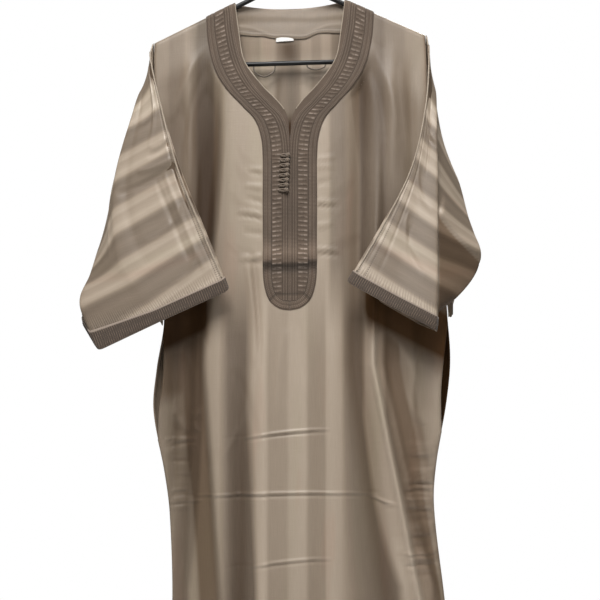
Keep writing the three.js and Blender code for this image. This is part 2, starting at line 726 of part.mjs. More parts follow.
function manifoldOf(geometry) {
  const bare = geometry.clone();
  bare.deleteAttribute("normal");
  bare.deleteAttribute("uv");
  const merged = mergeVertices(bare, 1e-3);
  const vertProperties = new Float32Array(merged.getAttribute("position").array);
  const triVerts = new Uint32Array(merged.getIndex().array);
  return new wasm.Manifold(new wasm.Mesh({ numProp: 3, vertProperties, triVerts }));
}

function geometryOf(manifold) {
  const mesh = manifold.getMesh();
  const geometry = new THREE.BufferGeometry();
  geometry.setAttribute("position", new THREE.BufferAttribute(new Float32Array(mesh.vertProperties), 3));
  geometry.setIndex(new THREE.BufferAttribute(new Uint32Array(mesh.triVerts), 1));
  geometry.computeVertexNormals();
  return geometry;
}

function hanger() {
  const frame = manifoldOf(loopTube(frameLoop(), ROD_RADIUS, 8));
  const hook = manifoldOf(rod(hookPath(), HOOK_ROD, 8, 28));
  return geometryOf(frame.add(hook));
}

// A strap loop: a thin rod that hangs in a bow under the bar.
function strapLoop(x, half, deep) {
  const top = HANGER.barDrop + ROD_RADIUS + 0.7;
  const points = [
    [x - half, 0, -top],
    [x - half * 0.85, 0, -top - deep * 0.55],
    [x, 0, -top - deep],
    [x + half * 0.85, 0, -top - deep * 0.55],
    [x + half, 0, -top],
  ];
  return rod(points, 1.2, 6, 10);
}

// ---- The robe -----------------------------------------------------------------------------------

const finish = (color, roughness) => new THREE.MeshStandardMaterial({ color, roughness, metalness: 0 });
const cloth = finish(COLOURS.cloth, 0.5);
const braid = finish(COLOURS.braid, 0.8);
const cuff = finish(COLOURS.cuff, 0.8);
const knot = finish(COLOURS.knot, 0.7);

// The hanger tips to one side on its rail. All that lies on it is sheared, so cloth still hangs plumb.
const tipped = new THREE.Matrix4().set(1, 0, 0, 0, 0, 1, 0, 0, TILT, 0, 1, 0, 0, 0, 0, 1);
const robe = new THREE.Group();
function add(name, geometry, material, hangsFree = false) {
  if (!hangsFree) geometry.applyMatrix4(tipped);
  const mesh = new THREE.Mesh(geometry, material);
  mesh.name = name;
  robe.add(mesh);
}

add("front_panel", frontPanel(), cloth);
add("back_panel", backPanel(), cloth);
add("sleeve_right", sleeve(-1, RIGHT_RINGS), cloth, true);
add("sleeve_left", sleeve(1, LEFT_RINGS), cloth, true);
add("cuff_trim_right", cuffTrim(-1, RIGHT_RINGS), cuff, true);
add("cuff_trim_left", cuffTrim(1, LEFT_RINGS), cuff, true);
add("neck_trim_right", neckTrim(-1), braid);
add("neck_trim_left", neckTrim(1), braid);
add("neck_trim_back", backTrim(), braid);
add("neck_facing", backFacing(), finish(COLOURS.facing, 0.45));
add("neck_label", neckLabel(), finish(COLOURS.label, 0.7));
for (let n = 0; n < KNOTS.count; n += 1) {
  add(`knot_button_${n + 1}`, knotButton(n), knot);
  add(`knot_loop_${n + 1}`, knotLoop(n), knot);
}
add("hanger", hanger(), finish(COLOURS.hanger, 0.35));
add("strap_loop_right", strapLoop(-41, 16, 16), finish(COLOURS.strapLoop, 0.4));
add("strap_loop_left", strapLoop(42, 15, 8), finish(COLOURS.strapLoop, 0.4));

export default robe;
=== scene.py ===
"""A man's gandoura on a tubular hanger: an ankle-length robe of satin-striped cloth, trimmed with braid.

Shapes are worked out in millimetres: x runs to the wearer's left, y to the back, and a "drop" is
the distance down from the rail, so z = -drop. Each shape is a function of two parameters on a grid,
or a profile carried along a path, and becomes a mesh in metres.
"""

import math

import bpy
import numpy as np
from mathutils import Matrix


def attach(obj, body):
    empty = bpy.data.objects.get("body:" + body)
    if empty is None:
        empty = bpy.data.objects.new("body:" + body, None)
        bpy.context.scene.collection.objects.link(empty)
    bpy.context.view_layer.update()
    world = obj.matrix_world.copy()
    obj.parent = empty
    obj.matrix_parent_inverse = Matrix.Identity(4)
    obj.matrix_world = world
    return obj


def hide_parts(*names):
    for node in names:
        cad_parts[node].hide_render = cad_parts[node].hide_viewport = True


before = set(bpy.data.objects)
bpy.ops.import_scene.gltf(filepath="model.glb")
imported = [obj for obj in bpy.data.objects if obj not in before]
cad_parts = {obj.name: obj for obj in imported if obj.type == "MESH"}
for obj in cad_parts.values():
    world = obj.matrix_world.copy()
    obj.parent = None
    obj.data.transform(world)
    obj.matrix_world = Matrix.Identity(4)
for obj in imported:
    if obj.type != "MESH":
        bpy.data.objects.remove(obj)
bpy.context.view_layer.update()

bl_info = {
    "name": "Gandoura on a hanger",
    "version": (1, 0, 0),
    "blender": (4, 5, 0),
    "location": "3D View > Sidebar > Robe",
    "description": "Builds a striped robe with a braid-trimmed neck and placket, on a tubular hanger",
    "category": "Add Mesh",
}

MM = 0.001
FRONTWARD = np.array([0, -1.0, 0])
BACKWARD = np.array([0, 1.0, 0])

# ---- The robe's sizes, as its maker cuts it -------------------------------------------------------

NECK_HALF = 88.0
NECK_DROP = 118.0
TIP_HALF = 216.0
TIP_DROP = 178.0
TILT = 0.03
SLIT_DROP = 365.0
UNDERARM_DROP = 630.0
HEM_DROP = 1518.0
ARMHOLE_HALF = 14.0
SHOULDER_ROUND = 5.8
SHOULDER_FALL = 130.0
BACK_NECK_DROP = 126.0
BACK_NECK_SAG = 14.0
SIDE_SLIT_TOP, SIDE_SLIT_END, SIDE_SLIT_GAP, SIDE_SLIT_SET = 640.0, 812.0, 5.0, 13.0
SEAM = 0.2
SEWN = 0.05
VALLEY_FLOOR = 2.6
NECK_SHARE = 0.62

# Drop, half width to the right and to the left, depth to the front and to the back.
BODY = np.array(
    [
        [118, 216, 216, 8, 9],
        [200, 217, 217, 11, 13],
        [300, 213, 222, 19, 22],
        [420, 206, 232, 27, 30],
        [540, 199, 243, 33, 36],
        [630, 202, 252, 37, 40],
        [700, 214, 257, 41, 44],
        [765, 219, 251, 44, 46],
        [860, 201, 234, 47, 49],
        [930, 192, 230, 49, 51],
        [1080, 188, 247, 54, 56],
        [1300, 199, 270, 60, 62],
        [1518, 212, 288, 66, 68],
    ],
    float,
)

# Folds: x at drops 350, 700 and 1100, width, rise, step, and the drops between which a fold grows in
# and fades out. Beyond a fold with a step, the cloth lies that much further in.
FRONT_FOLDS = [
    (-109, -134, -105, 6.5, 4, 18, 190, 330, 1600, 1700),
    (-150, -150, -168, 5.5, 2, 8, 500, 700, 1600, 1700),
    (-80, -80, -79, 13, -9, 0, 600, 900, 1600, 1700),
    (-160, -166, -166, 9, 6, 0, 150, 230, 380, 470),
    (-133, -140, -140, 10, -7, 0, 200, 320, 460, 560),
    (112, 104, 160, 16, -11, 0, 150, 260, 1600, 1700),
    (140, 131, 210, 6, 9, 6, 300, 600, 1600, 1700),
    (150, 146, 238, 6, 3, 8, 560, 720, 1100, 1300),
    (163, 176, 180, 10, 5, 0, 140, 200, 330, 460),
    (193, 200, 200, 9, -5, 0, 170, 230, 400, 520),
    (-20, -26, -40, 30, 5, 0, 900, 1250, 1600, 1700),
    (60, 62, 70, 26, 6, 0, 900, 1250, 1600, 1700),
    (180, 196, 196, 16, -6, 0, 900, 1150, 1600, 1700),
    (-48, -42, -40, 13, 3.5, 0, 540, 680, 1600, 1700),
    (62, 66, 70, 15, 3, 0, 560, 700, 1600, 1700),
    (26, 30, 30, 12, -2.2, 0, 620, 760, 1600, 1700),
    (-180, -186, -186, 7, -4, 0, 640, 760, 1300, 1500),
]
BACK_FOLDS = [
    (-150, -160, -158, 18, 9, 0, 190, 420, 1600, 1700),
    (-112, -118, -112, 16, -9, 0, 190, 420, 1600, 1700),
    (-66, -72, -76, 20, 7, 0, 240, 520, 1600, 1700),
    (-18, -20, -24, 18, -8, 0, 240, 620, 1600, 1700),
    (28, 30, 34, 22, 8, 0, 260, 600, 1600, 1700),
    (82, 84, 92, 17, -10, 0, 190, 420, 1600, 1700),
    (122, 132, 146, 19, 9, 0, 190, 420, 1600, 1700),
    (178, 190, 204, 16, -8, 0, 300, 560, 1600, 1700),
]

# Small creases: from x, drop to x, drop, bow across the line, half width of the ridge, rise.
FRONT_CREASES = [
    (-72, 809, 62, 799, -3, 2.2, 1.9),
    (-72, 814, 62, 804, -3, 2.2, -1.5),
    (-150, 900, 132, 902, -5, 2.2, 2.0),
    (-150, 905, 132, 907, -5, 2.2, -1.5),
    (124, 904, 182, 924, 3, 2.4, 1.8),
    (124, 909, 182, 929, 3, 2.2, -1.3),
    (176, 922, 236, 928, 2, 2.6, 1.8),
    (-66, 1010, 66, 1000, -3, 2.4, 1.7),
    (-66, 1015, 66, 1005, -3, 2.2, -1.2),
    (-196, 912, -138, 908, 0, 2.6, 1.8),
    (-200, 812, -146, 812, -2, 3.0, 1.8),
    (-200, 832, -148, 820, -2, 3.0, 2.2),
    (-198, 846, -150, 838, 2, 3.0, -1.6),
    (-158, 774, -140, 764, 3, 4.0, 2.8),
    (-154, 782, -144, 800, 2, 3.4, 2.4),
    (-120, 860, -60, 700, 14, 5.0, 1.6),
    (-90, 700, -50, 830, -10, 5.0, -1.5),
    (-84, 453, -30, 466, -3, 2.4, 3.0),
    (-84, 458, -30, 471, -3, 2.4, -2.4),
    (-66, 386, -30, 394, -2, 2.4, 2.2),
    (-66, 391, -30, 399, -2, 2.4, -1.6),
    (-72, 412, -30, 421, -2, 2.6, 2.4),
    (-70, 430, -30, 440, 2, 2.6, -2.2),
    (-74, 484, -30, 488, 2, 3.4, -1.8),
    (-82, 526, -30, 520, 3, 2.6, 2.8),
    (-74, 533, -30, 529, 3, 2.6, -2.2),
    (30, 372, 74, 370, 2, 2.6, 1.8),
    (30, 382, 72, 384, 2, 2.4, 2.2),
    (30, 438, 78, 443, 2, 2.4, 3.0),
    (30, 443, 78, 448, 2, 2.4, -2.2),
    (30, 480, 70, 474, 2, 3.2, 1.8),
    (30, 519, 80, 522, -3, 2.4, 3.2),
    (30, 524, 80, 528, -3, 2.4, -2.4),
    (30, 410, 66, 408, 2, 3.0, -1.6),
    (-60, 516, -46, 700, -4, 3.4, -3.4),
    (-69, 520, -56, 690, -4, 4.0, 2.6),
    (-136, 186, -188, 304, 6, 5.0, 2.8),
    (-126, 204, -172, 336, 6, 6.0, -2.6),
    (-142, 330, -154, 470, 0, 5.0, 2.0),
    (-196, 300, -176, 420, 4, 5.0, -1.8),
    (126, 158, 148, 192, 0, 4.0, 2.2),
    (130, 190, 170, 336, -8, 6.0, 2.6),
    (120, 204, 152, 346, -6, 6.0, -2.4),
    (178, 224, 192, 384, 4, 6.0, 2.0),
    (150, 330, 158, 520, 4, 6.0, -2.0),
    (-186, 560, -150, 640, 6, 5.0, 1.6),
    (-176, 660, -150, 740, -6, 5.0, 1.6),
    (-200, 730, -160, 800, 6, 6.0, 2.4),
    (150, 640, 204, 730, -6, 6.0, 1.8),
    (172, 700, 214, 800, 8, 7.0, 2.2),
    (214, 640, 196, 790, 8, 5.0, 2.4),
    (-6, 640, -20, 780, 6, 7.0, 1.6),
    (16, 628, 24, 720, -4, 6.0, -1.2),
]
BACK_CREASES = [
    (-130, 806, 40, 800, -4, 2.6, 1.3),
    (-130, 811, 40, 805, -4, 2.2, -0.9),
    (-60, 904, 150, 900, 4, 2.6, 1.4),
    (-60, 909, 150, 905, 4, 2.2, -0.9),
    (-170, 1004, 20, 1000, -3, 2.6, 1.2),
    (-30, 1110, 160, 1104, 3, 2.6, 1.2),
    (-110, 1220, 60, 1216, -3, 2.6, 1.1),
    (-188, 700, -120, 720, 4, 5.0, 1.8),
    (120, 690, 200, 712, -5, 5.0, 1.8),
    (-180, 560, -130, 590, 4, 6.0, 2.0),
    (110, 520, 190, 560, 4, 6.0, 2.0),
    (-60, 250, -20, 330, 6, 8.0, 2.2),
    (20, 240, 60, 330, -6, 8.0, 2.2),
]

# The neck trim's edges from the shoulder to the foot of the placket: inner x and drop, outer x and drop.
TRIM = np.array(
    [
        [88, 118, 134, 139.6],
        [82, 164, 131, 180],
        [73, 212, 121, 222],
        [47, 250, 102, 256],
        [18, 281, 76, 285],
        [4.6, 303, 56, 308],
        [1.3, 332, 46, 336],
        [0.6, 372, 43, 372],
        [0.6, 440, 43, 440],
        [0.6, 508, 42.5, 508],
        [0.6, 548, 42, 560],
        [0.6, 563, 34, 592],
        [0.6, 572, 18, 607],
        [0.6, 578, 0.6, 611],
    ],
    float,
)
NECK_ROWS = 7
BACK_TRIM_EDGE = np.array(
    [[-134, 139.6], [-104, 163], [-60, 171], [0, 173], [60, 171], [104, 163], [134, 139.6]], float
)

# Sleeve rings: share along the sleeve, then x, drop and y of the top seam, the standing crease, the
# outline, the underarm seam, and the inner layer's two points.
RIGHT_RINGS = [
    (
        0.0, (-217, 184, 0), (-211, 346, 13), (-201, 506, 13),
        (-203, 630, 0), (-201, 506, -13), (-211, 346, -13),
    ),
    (
        0.1, (-222, 206, -10), (-236, 264, 8), (-226, 480, 20),
        (-212, 629, 4), (-214, 500, -12), (-223, 330, -16),
    ),
    (
        0.25, (-203, 290, -30), (-252, 302, -20), (-258, 440, 14),
        (-228, 628, 8), (-230, 470, -12), (-222, 350, -20),
    ),
    (
        0.5, (-176, 388, -44), (-279, 416, -26), (-301, 500, 4),
        (-268, 626, 8), (-262, 500, -14), (-226, 428, -30),
    ),
    (
        0.75, (-136, 487, -54), (-266, 534, -44), (-319, 556, -20),
        (-304, 604, 6), (-292, 544, -22), (-238, 524, -38),
    ),
    (
        0.88, (-116, 534, -61), (-232, 584, -54), (-331, 602, -36),
        (-332, 604, -2), (-302, 594, -28), (-216, 572, -46),
    ),
    (
        1.0, (-96, 581, -66), (-200, 628, -60), (-298, 674, -52),
        (-330, 634, -10), (-282, 652, -38), (-196, 620, -52),
    ),
]
LEFT_RINGS = [
    (
        0.0, (217, 172, 0), (220, 346, 13), (239, 506, 13),
        (252, 630, 0), (239, 506, -13), (220, 346, -13),
    ),
    (
        0.1, (221, 196, -10), (231, 262, 6), (256, 460, 18),
        (260, 620, 4), (248, 490, -14), (230, 330, -18),
    ),
    (
        0.25, (214, 284, -32), (228, 304, -24), (268, 400, 12),
        (260, 612, 8), (254, 440, -14), (229, 346, -20),
    ),
    (
        0.5, (190, 385, -48), (230, 410, -42), (287, 458, 4),
        (264, 598, 8), (264, 470, -18), (234, 430, -30),
    ),
    (
        0.75, (145, 479, -64), (230, 524, -62), (302, 536, -22),
        (254, 598, -6), (262, 552, -30), (222, 512, -50),
    ),
    (
        0.88, (117, 526, -73), (230, 588, -74), (264, 590, -42),
        (226, 604, -32), (228, 590, -48), (219, 580, -62),
    ),
    (
        1.0, (91, 569, -82), (227, 644, -86), (200, 632, -54),
        (138, 596, -54), (200, 622, -63), (216, 630, -74),
    ),
]
RING_AT = np.array([0, 0.18, 0.36, 0.49, 0.51, 0.64, 0.82, 0.985, 1])
FOLD_ROLL = 9.0
CUFF_FROM = 0.952
SLEEVE_LENGTH = 430.0
SLEEVE_ROUND = 560.0
CUFF_ROWS = 14

# Sleeve creases: share round and along, to share round and along, bow, half width in mm, rise.
RIGHT_CREASES = [
    (0.010, 0.02, 0.010, 0.94, 0.0, 1.8, -1.6),
    (0.038, 0.50, 0.030, 0.90, 0.004, 3.2, 2.4),
    (0.062, 0.52, 0.050, 0.84, 0.006, 3.4, -2.2),
    (0.0, 0.455, 0.11, 0.475, 0.006, 4.0, 3.2),
    (0.0, 0.48, 0.17, 0.53, 0.010, 4.6, -3.4),
    (0.0, 0.36, 0.07, 0.40, 0.010, 3.6, 2.4),
    (0.0, 0.385, 0.08, 0.425, 0.010, 3.4, -2.0),
    (0.05, 0.10, 0.08, 0.40, 0.02, 4.0, 1.8),
    (0.12, 0.16, 0.13, 0.80, -0.02, 7.0, -1.6),
    (0.22, 0.20, 0.24, 0.72, 0.01, 6.0, 1.4),
    (0.02, 0.62, 0.12, 0.72, 0.02, 4.0, 1.8),
    (0.03, 0.24, 0.12, 0.30, 0.01, 3.5, 2.0),
    (0.03, 0.80, 0.10, 0.90, 0.02, 4.0, 2.0),
    (0.60, 0.20, 0.62, 0.80, 0.01, 7.0, 1.6),
    (0.72, 0.20, 0.74, 0.80, 0.01, 7.0, -1.6),
]
LEFT_CREASES = [
    (0.010, 0.02, 0.010, 0.94, 0.0, 1.8, -1.6),
    (0.045, 0.20, 0.040, 0.92, 0.0, 1.8, -1.2),
    (0.05, 0.30, 0.17, 0.36, 0.01, 3.2, 2.2),
    (0.05, 0.315, 0.17, 0.375, 0.01, 3.0, -2.0),
    (0.05, 0.50, 0.16, 0.62, 0.02, 5.0, 1.8),
    (0.06, 0.66, 0.12, 0.80, 0.02, 4.0, 2.0),
    (0.08, 0.70, 0.14, 0.84, 0.02, 4.0, -1.8),
    (0.09, 0.20, 0.10, 0.50, -0.01, 5.0, -1.4),
    (0.60, 0.20, 0.62, 0.80, 0.01, 7.0, 1.6),
    (0.72, 0.20, 0.74, 0.80, 0.01, 7.0, -1.6),
]
# Sleeve pleats, laid out as creases are: half width of the step, its height, and the swell's reach.
RIGHT_PLEATS = []
LEFT_PLEATS = [
    (0.178, 1.0, 0.178, 0.06, 2.4, 7.0, 60.0),
    (0.185, 0.61, 0.37, 0.75, 2.6, 6.0, 50.0),
]

KNOT_FIRST, KNOT_PITCH, KNOT_X, KNOT_STEP = 366.0, 7.9, -3.2, -0.35
KNOT_COUNT = 8


# ---- Numbers ----------------------------------------------------------------------------------------


def smooth(t):
    """0 to 1 with flat ends: t squared times (3 - 2t)."""
    t = np.clip(t, 0, 1)
    return t * t * (3 - 2 * t)


def mix(a, b, t):
    return a + (b - a) * t


def hump(t):
    """A half sine wave over 0 to 1."""
    return np.sin(np.pi * np.clip(t, 0, 1))


def bell(t):
    return np.exp(-t * t)


def curve(at, values, x):
    """A smooth line through a table's rows: cubic Hermite, each row's slope that of its neighbours."""
    at, values, x = np.asarray(at, float), np.asarray(values, float), np.asarray(x, float)
    last = len(at) - 1
    rows = np.arange(last + 1)
    low, high = np.maximum(rows - 1, 0), np.minimum(rows + 1, last)
    wide = (slice(None),) + (None,) * (values.ndim - 1)
    slope = (values[high] - values[low]) / (at[high] - at[low])[wide]
    i = np.clip(np.searchsorted(at, x, side="left") - 1, 0, last - 1)
    span = at[i + 1] - at[i]
    t = np.clip((x - at[i]) / span, 0, 1)
    more = t.shape + (1,) * (values.ndim - 1)
    t, span = t.reshape(more), span.reshape(more)
    start, end = values[i], values[i + 1]
    bend = slope[i] * span * (t**3 - 2 * t**2 + t) + slope[i + 1] * span * (t**3 - t**2)
    return start * (2 * t**3 - 3 * t**2 + 1) + end * (3 * t**2 - 2 * t**3) + bend


def along_path(points, share):
    """A point on a polyline at a share of its length."""
    points = np.asarray(points, float)
    length = np.concatenate([[0], np.cumsum(np.linalg.norm(np.diff(points, axis=0), axis=1))])
    want = np.clip(share, 0, 1) * length[-1]
    return np.stack([np.interp(want, length, points[:, axis]) for axis in range(points.shape[1])], -1)


def unit(vectors):
    return vectors / np.maximum(np.linalg.norm(vectors, axis=-1, keepdims=True), 1e-9)


def lengths(grid, axis):
    """How far along a grid each point is, in mm, on its own line."""
    steps = np.linalg.norm(np.diff(grid, axis=axis), axis=-1)
    pad = [(0, 0), (0, 0)]
    pad[axis] = (1, 0)
    return np.pad(np.cumsum(steps, axis=axis), pad)


# ---- The hanging body -------------------------------------------------------------------------------


def shoulder_drop(x):
    """The hanger's arms: a straight slope from the neck's corner to the tip."""
    reach = np.minimum(np.abs(x), TIP_HALF) - NECK_HALF
    return mix(NECK_DROP, TIP_DROP, reach / (TIP_HALF - NECK_HALF))


def armhole_half(drop):
    """Half the armhole's gap: the root of a half sine wave between the tip and the underarm."""
    return ARMHOLE_HALF * np.sqrt(hump((drop - TIP_DROP) / (UNDERARM_DROP - TIP_DROP)))


def slit_share(drop):
    return hump((drop - SIDE_SLIT_TOP) / (SIDE_SLIT_END - SIDE_SLIT_TOP))


def half_width(tau, drop, set_back):
    right, left = curve(BODY[:, 0], BODY[:, 1], drop), curve(BODY[:, 0], BODY[:, 2], drop)
    return np.where(np.asarray(tau) < 0, right, left) - set_back * slit_share(drop)


def beyond_trim(x, drop):
    """0 under the neck trim and 1 from 14 mm beyond its outer edge."""
    reach = curve(TRIM[:, 3], TRIM[:, 2], np.minimum(drop, 600))
    return smooth((np.abs(x) - reach + 2) / 16)


def beyond_braid(x, drop):
    """0 under the neck trim and 1 from 3 mm beyond its outer edge, and below the placket's foot."""
    reach = curve(TRIM[:, 3], TRIM[:, 2], np.minimum(drop, 611))
    return np.maximum(smooth((np.abs(x) - reach + 1) / 4), smooth((drop - 612) / 12))


def fold_relief(folds, x, drop):
    """Vertical folds: bell-shaped ridges and tanh-shaped steps about a line that wanders with the drop."""
    relief = np.zeros(np.broadcast(x, drop).shape)
    for x350, x700, x1100, width, rise, step, begin, full, fade, gone in folds:
        strength = smooth((drop - begin) / (full - begin)) * (1 - smooth((drop - fade) / (gone - fade)))
        upper = mix(x350, x700, smooth((drop - 350) / 350))
        place = np.where(drop < 700, upper, mix(x700, x1100, np.clip((drop - 700) / 400, 0, 1)))
        t = (x - place) / width
        relief += strength * (rise * bell(t) - step * (0.5 + 0.5 * np.tanh(np.sign(place) * t)))
    return relief


def crease_relief(creases, x, drop, scale=(1.0, 1.0)):
    """Short soft ridges and troughs: a bell across a bowed line, faded out at the line's ends."""
    relief = np.zeros(np.broadcast(x, drop).shape)
    for x0, d0, x1, d1, bow, width, rise in creases:
        run = np.array([(x1 - x0) * scale[0], (d1 - d0) * scale[1]])
        long = math.hypot(*run)
        along = ((x - x0) * scale[0] * run[0] + (drop - d0) * scale[1] * run[1]) / long**2
        across = ((drop - d0) * scale[1] * run[0] - (x - x0) * scale[0] * run[1]) / long
        line = bow * (scale[0] if scale[0] > 1 else 1) * 4 * along * (1 - along)
        relief += rise * np.sqrt(hump(along)) * bell((across - line) / width)
    return relief


def pleat_relief(pleats, x, drop, scale):
    """Pleats: the cloth swells towards a line over a wide reach, and beyond it steps back down."""
    relief = np.zeros(np.broadcast(x, drop).shape)
    for x0, d0, x1, d1, width, rise, reach in pleats:
        run = np.array([(x1 - x0) * scale[0], (d1 - d0) * scale[1]])
        long = math.hypot(*run)
        along = ((x - x0) * scale[0] * run[0] + (drop - d0) * scale[1] * run[1]) / long**2
        across = ((drop - d0) * scale[1] * run[0] - (x - x0) * scale[0] * run[1]) / long
        ends = smooth((along + 0.04) / 0.08) * smooth((1.04 - along) / 0.3)
        relief += rise * ends * (1 - smooth(0.5 + 0.5 * across / width)) * (1 - smooth(-across / reach))
    return relief


def body_points(side, tau, drop, folds, creases=(), set_back=0.0):
    """The front (side -1) or back (side 1) face at a share tau of the half width and at a drop.

    The section bulges from the side seams to the middle with the power 0.6 of a half circle. Near
    the shoulders it wraps the hanger's rods instead, and the folds fade out.
    """
    x = tau * half_width(tau, drop, set_back)
    fall = np.maximum(0, drop - shoulder_drop(x))
    edge = np.sqrt(np.maximum(0, 1 - tau * tau))
    seam = armhole_half(drop) + SIDE_SLIT_GAP * slit_share(drop) + SEAM
    middle = curve(BODY[:, 0], BODY[:, 3 if side < 0 else 4], drop)
    full = seam + (middle - seam) * edge**0.6
    round_rod = SHOULDER_ROUND * np.sqrt(1 - (1 - np.clip(fall / SHOULDER_ROUND, 0, 1)) ** 2)
    near = np.minimum(round_rod, np.maximum(seam, SHOULDER_ROUND * smooth(6 * edge)))
    free = smooth(1.6 * edge) * smooth(fall / SHOULDER_FALL)
    soft = smooth(4 * edge) * smooth(fall / 60)
    if side < 0:
        free, soft = free * beyond_trim(x, drop), soft * beyond_braid(x, drop)
    else:
        near = near + BACK_NECK_SAG * np.maximum(0, 1 - (x / NECK_HALF) ** 2)
    depth = mix(near, full, smooth(fall / SHOULDER_FALL)) + fold_relief(folds, x, drop) * free
    least = SEAM + VALLEY_FLOOR * smooth(6 * edge) * smooth(fall / 60)
    depth = np.maximum(depth + crease_relief(creases, x, drop) * soft, least)
    depth = depth - (SEAM - SEWN) * (1 - smooth(6 * edge))
    return np.stack([x, side * depth, -drop + 0 * x], -1)


def hollow(depth, reach, deep):
    """How far each point lies behind the highest fold within a reach of columns, as a share of deep, for
    painted shade in recesses.
    """
    wide = np.pad(depth, ((0, 0), (reach, reach)), mode="edge")
    cols = depth.shape[1]
    highest = np.max([wide[:, n : n + cols] - 0.012 * (n - reach) ** 2 for n in range(2 * reach + 1)], axis=0)
    return np.clip((highest - depth) / deep, 0, 1)


def shadow_under_sleeves(x, drop):
    """Painted shadow: 1 just under the sleeves' hems, where they hang in front of the body, and 0 from 60 mm
    below.
    """
    right = 575 + 0.45 * np.maximum(0, -x - 96)
    left = 566 + 0.55 * np.maximum(0, x - 92)
    hem = np.where(x < 0, right, left)
    covered = smooth((np.abs(x) - np.where(x < 0, 116, 104)) / 22)
    # Painted shade over the right flank's recess, from about 640 to 770 mm down.
    flank_shade = 0.64 * smooth((-x - 140) / 20) * smooth((drop - 640) / 40) * (1 - smooth((drop - 728) / 42))
    return np.maximum(covered * smooth((drop - hem + 70) / 60) * (1 - smooth((drop - hem - 26) / 66)), flank_shade)


def front_at(x, drop):
    tau = x / half_width(x, drop, SIDE_SLIT_SET)
    return body_points(-1, tau, drop, FRONT_FOLDS, (), SIDE_SLIT_SET)


def back_at(x, drop):
    return body_points(1, x / half_width(x, drop, 0), drop, BACK_FOLDS)


def back_edge_drop(x):
    neck = mix(BACK_NECK_DROP, NECK_DROP, (x / NECK_HALF) ** 2)
    return np.where(np.abs(x) > NECK_HALF, shoulder_drop(x), neck)


def panel_levels():
    """Drops of the rows below the chest, closer together where the sharp creases run."""
    even = np.concatenate([np.arange(704, 1090, 5.0), np.arange(1090, HEM_DROP, 12.0), [HEM_DROP]])
    fine = np.concatenate([np.arange(c - 12, c + 16, 1.6) for c in (806, 904, 1006)])
    levels = np.sort(np.concatenate([even, fine]))
    return levels[np.concatenate([[True], np.diff(levels) > 0.9])]


def panel_grid(side, top_x, top_drop, share, folds, creases, set_back):
    """A panel's grid: columns run from the top edge to the hem, where they end evenly round it."""
    down = np.concatenate([[0, 0.003, 0.008, 0.016, 0.03, 0.05], np.linspace(0.075, 1, 92)])
    upper = top_drop + (700 - top_drop) * down[:, None]
    drop = np.concatenate([upper, panel_levels()[:, None] + 0 * top_drop])
    spread = smooth(1.7 * (drop - top_drop) / (HEM_DROP - top_drop))
    tau = np.sign(share) * mix(top_x / TIP_HALF, np.sin(np.abs(share) * np.pi / 2), spread)
    return body_points(side, tau, drop, folds, creases, set_back)


def half_shares(in_neck, on_shoulder):
    half = np.concatenate([np.linspace(0, NECK_SHARE, in_neck), np.linspace(NECK_SHARE, 1, on_shoulder)[1:]])
    return np.concatenate([-half[:0:-1], half])


def shoulder_x(share):
    return mix(NECK_HALF, TIP_HALF, (np.abs(share) - NECK_SHARE) / (1 - NECK_SHARE))


# ---- Sleeves ----------------------------------------------------------------------------------------


def sleeve_points(side, rings, share, along, creases=(), pleats=()):
    """A sleeve's outer face at a share round it and a share along it.

    Each ring is a polygon whose corners are rounded by a running mean of five points. The rings are
    joined by smooth curves along the sleeve, and drawn to the armhole's own line near its top.
    """
    at = np.array([ring[0] for ring in rings])
    rounded = []
    for ring in rings:
        top, crease, edge, under, inner_edge, inner_crease = (np.array(p, float) for p in ring[1:])
        roll = FOLD_ROLL * smooth(ring[0] / 0.25)
        under_roll = under + roll * unit(inner_edge - edge)
        top_roll = top + roll * unit(inner_crease - crease)
        corners = np.stack([top, crease, edge, under, under_roll, inner_edge, inner_crease, top_roll, top])
        taps = [(1, -0.018), (2, -0.009), (3, 0), (2, 0.009), (1, 0.018)]
        mean = 0
        for weight, move in taps:
            s = (share + move * 0.75) % 1
            mean = mean + weight * np.stack([np.interp(s, RING_AT, corners[:, n]) for n in range(3)], -1)
        rounded.append(mean / 9)
    rounded = np.array(rounded)
    points = curve(at, rounded, along)
    half = np.where(share < 0.5, 2 * share, 2 - 2 * share)
    drop = mix(TIP_DROP, UNDERARM_DROP, half)
    turn = np.where(share < 0.5, 1.0, -1.0)
    x = side * (half_width(side, drop, 0) + 2.0)
    y = turn * (armhole_half(drop) + SEAM - 0.8)
    armhole = np.stack([x, drop - TILT * x, y], -1)
    pull = ((1 - smooth(along / 0.1)) ** 2)[:, None, None]
    points = points + (armhole - rounded[0]) * pull
    grid = np.stack([points[..., 0], points[..., 2], -points[..., 1]], -1)
    if creases or pleats:
        scale, round_it, down = (560.0, SLEEVE_LENGTH), share[None, :], along[:, None]
        relief = crease_relief(creases, round_it, down, scale) * smooth((1 - down) / 0.12)
        relief = (relief + pleat_relief(pleats, round_it, down, scale)) * smooth(down / 0.06)
        grid = grid + relief[..., None] * outward_normals(grid, True, ring_outward(grid))[0]
    return grid


def ring_outward(grid):
    """The direction away from each ring's own middle."""
    return grid - grid.mean(axis=1, keepdims=True)


# ---- Meshes -----------------------------------------------------------------------------------------


def outward_normals(grid, closed, outward):
    """Unit normals of a grid, turned to the outward side, and whether they had to be turned."""
    if closed:
        round_it = np.roll(grid, -1, axis=1) - np.roll(grid, 1, axis=1)
    else:
        round_it = np.gradient(grid, axis=1)
    normal = unit(np.cross(round_it, np.gradient(grid, axis=0)))
    turned = float(np.sum(normal * outward)) < 0
    return (-normal if turned else normal), turned


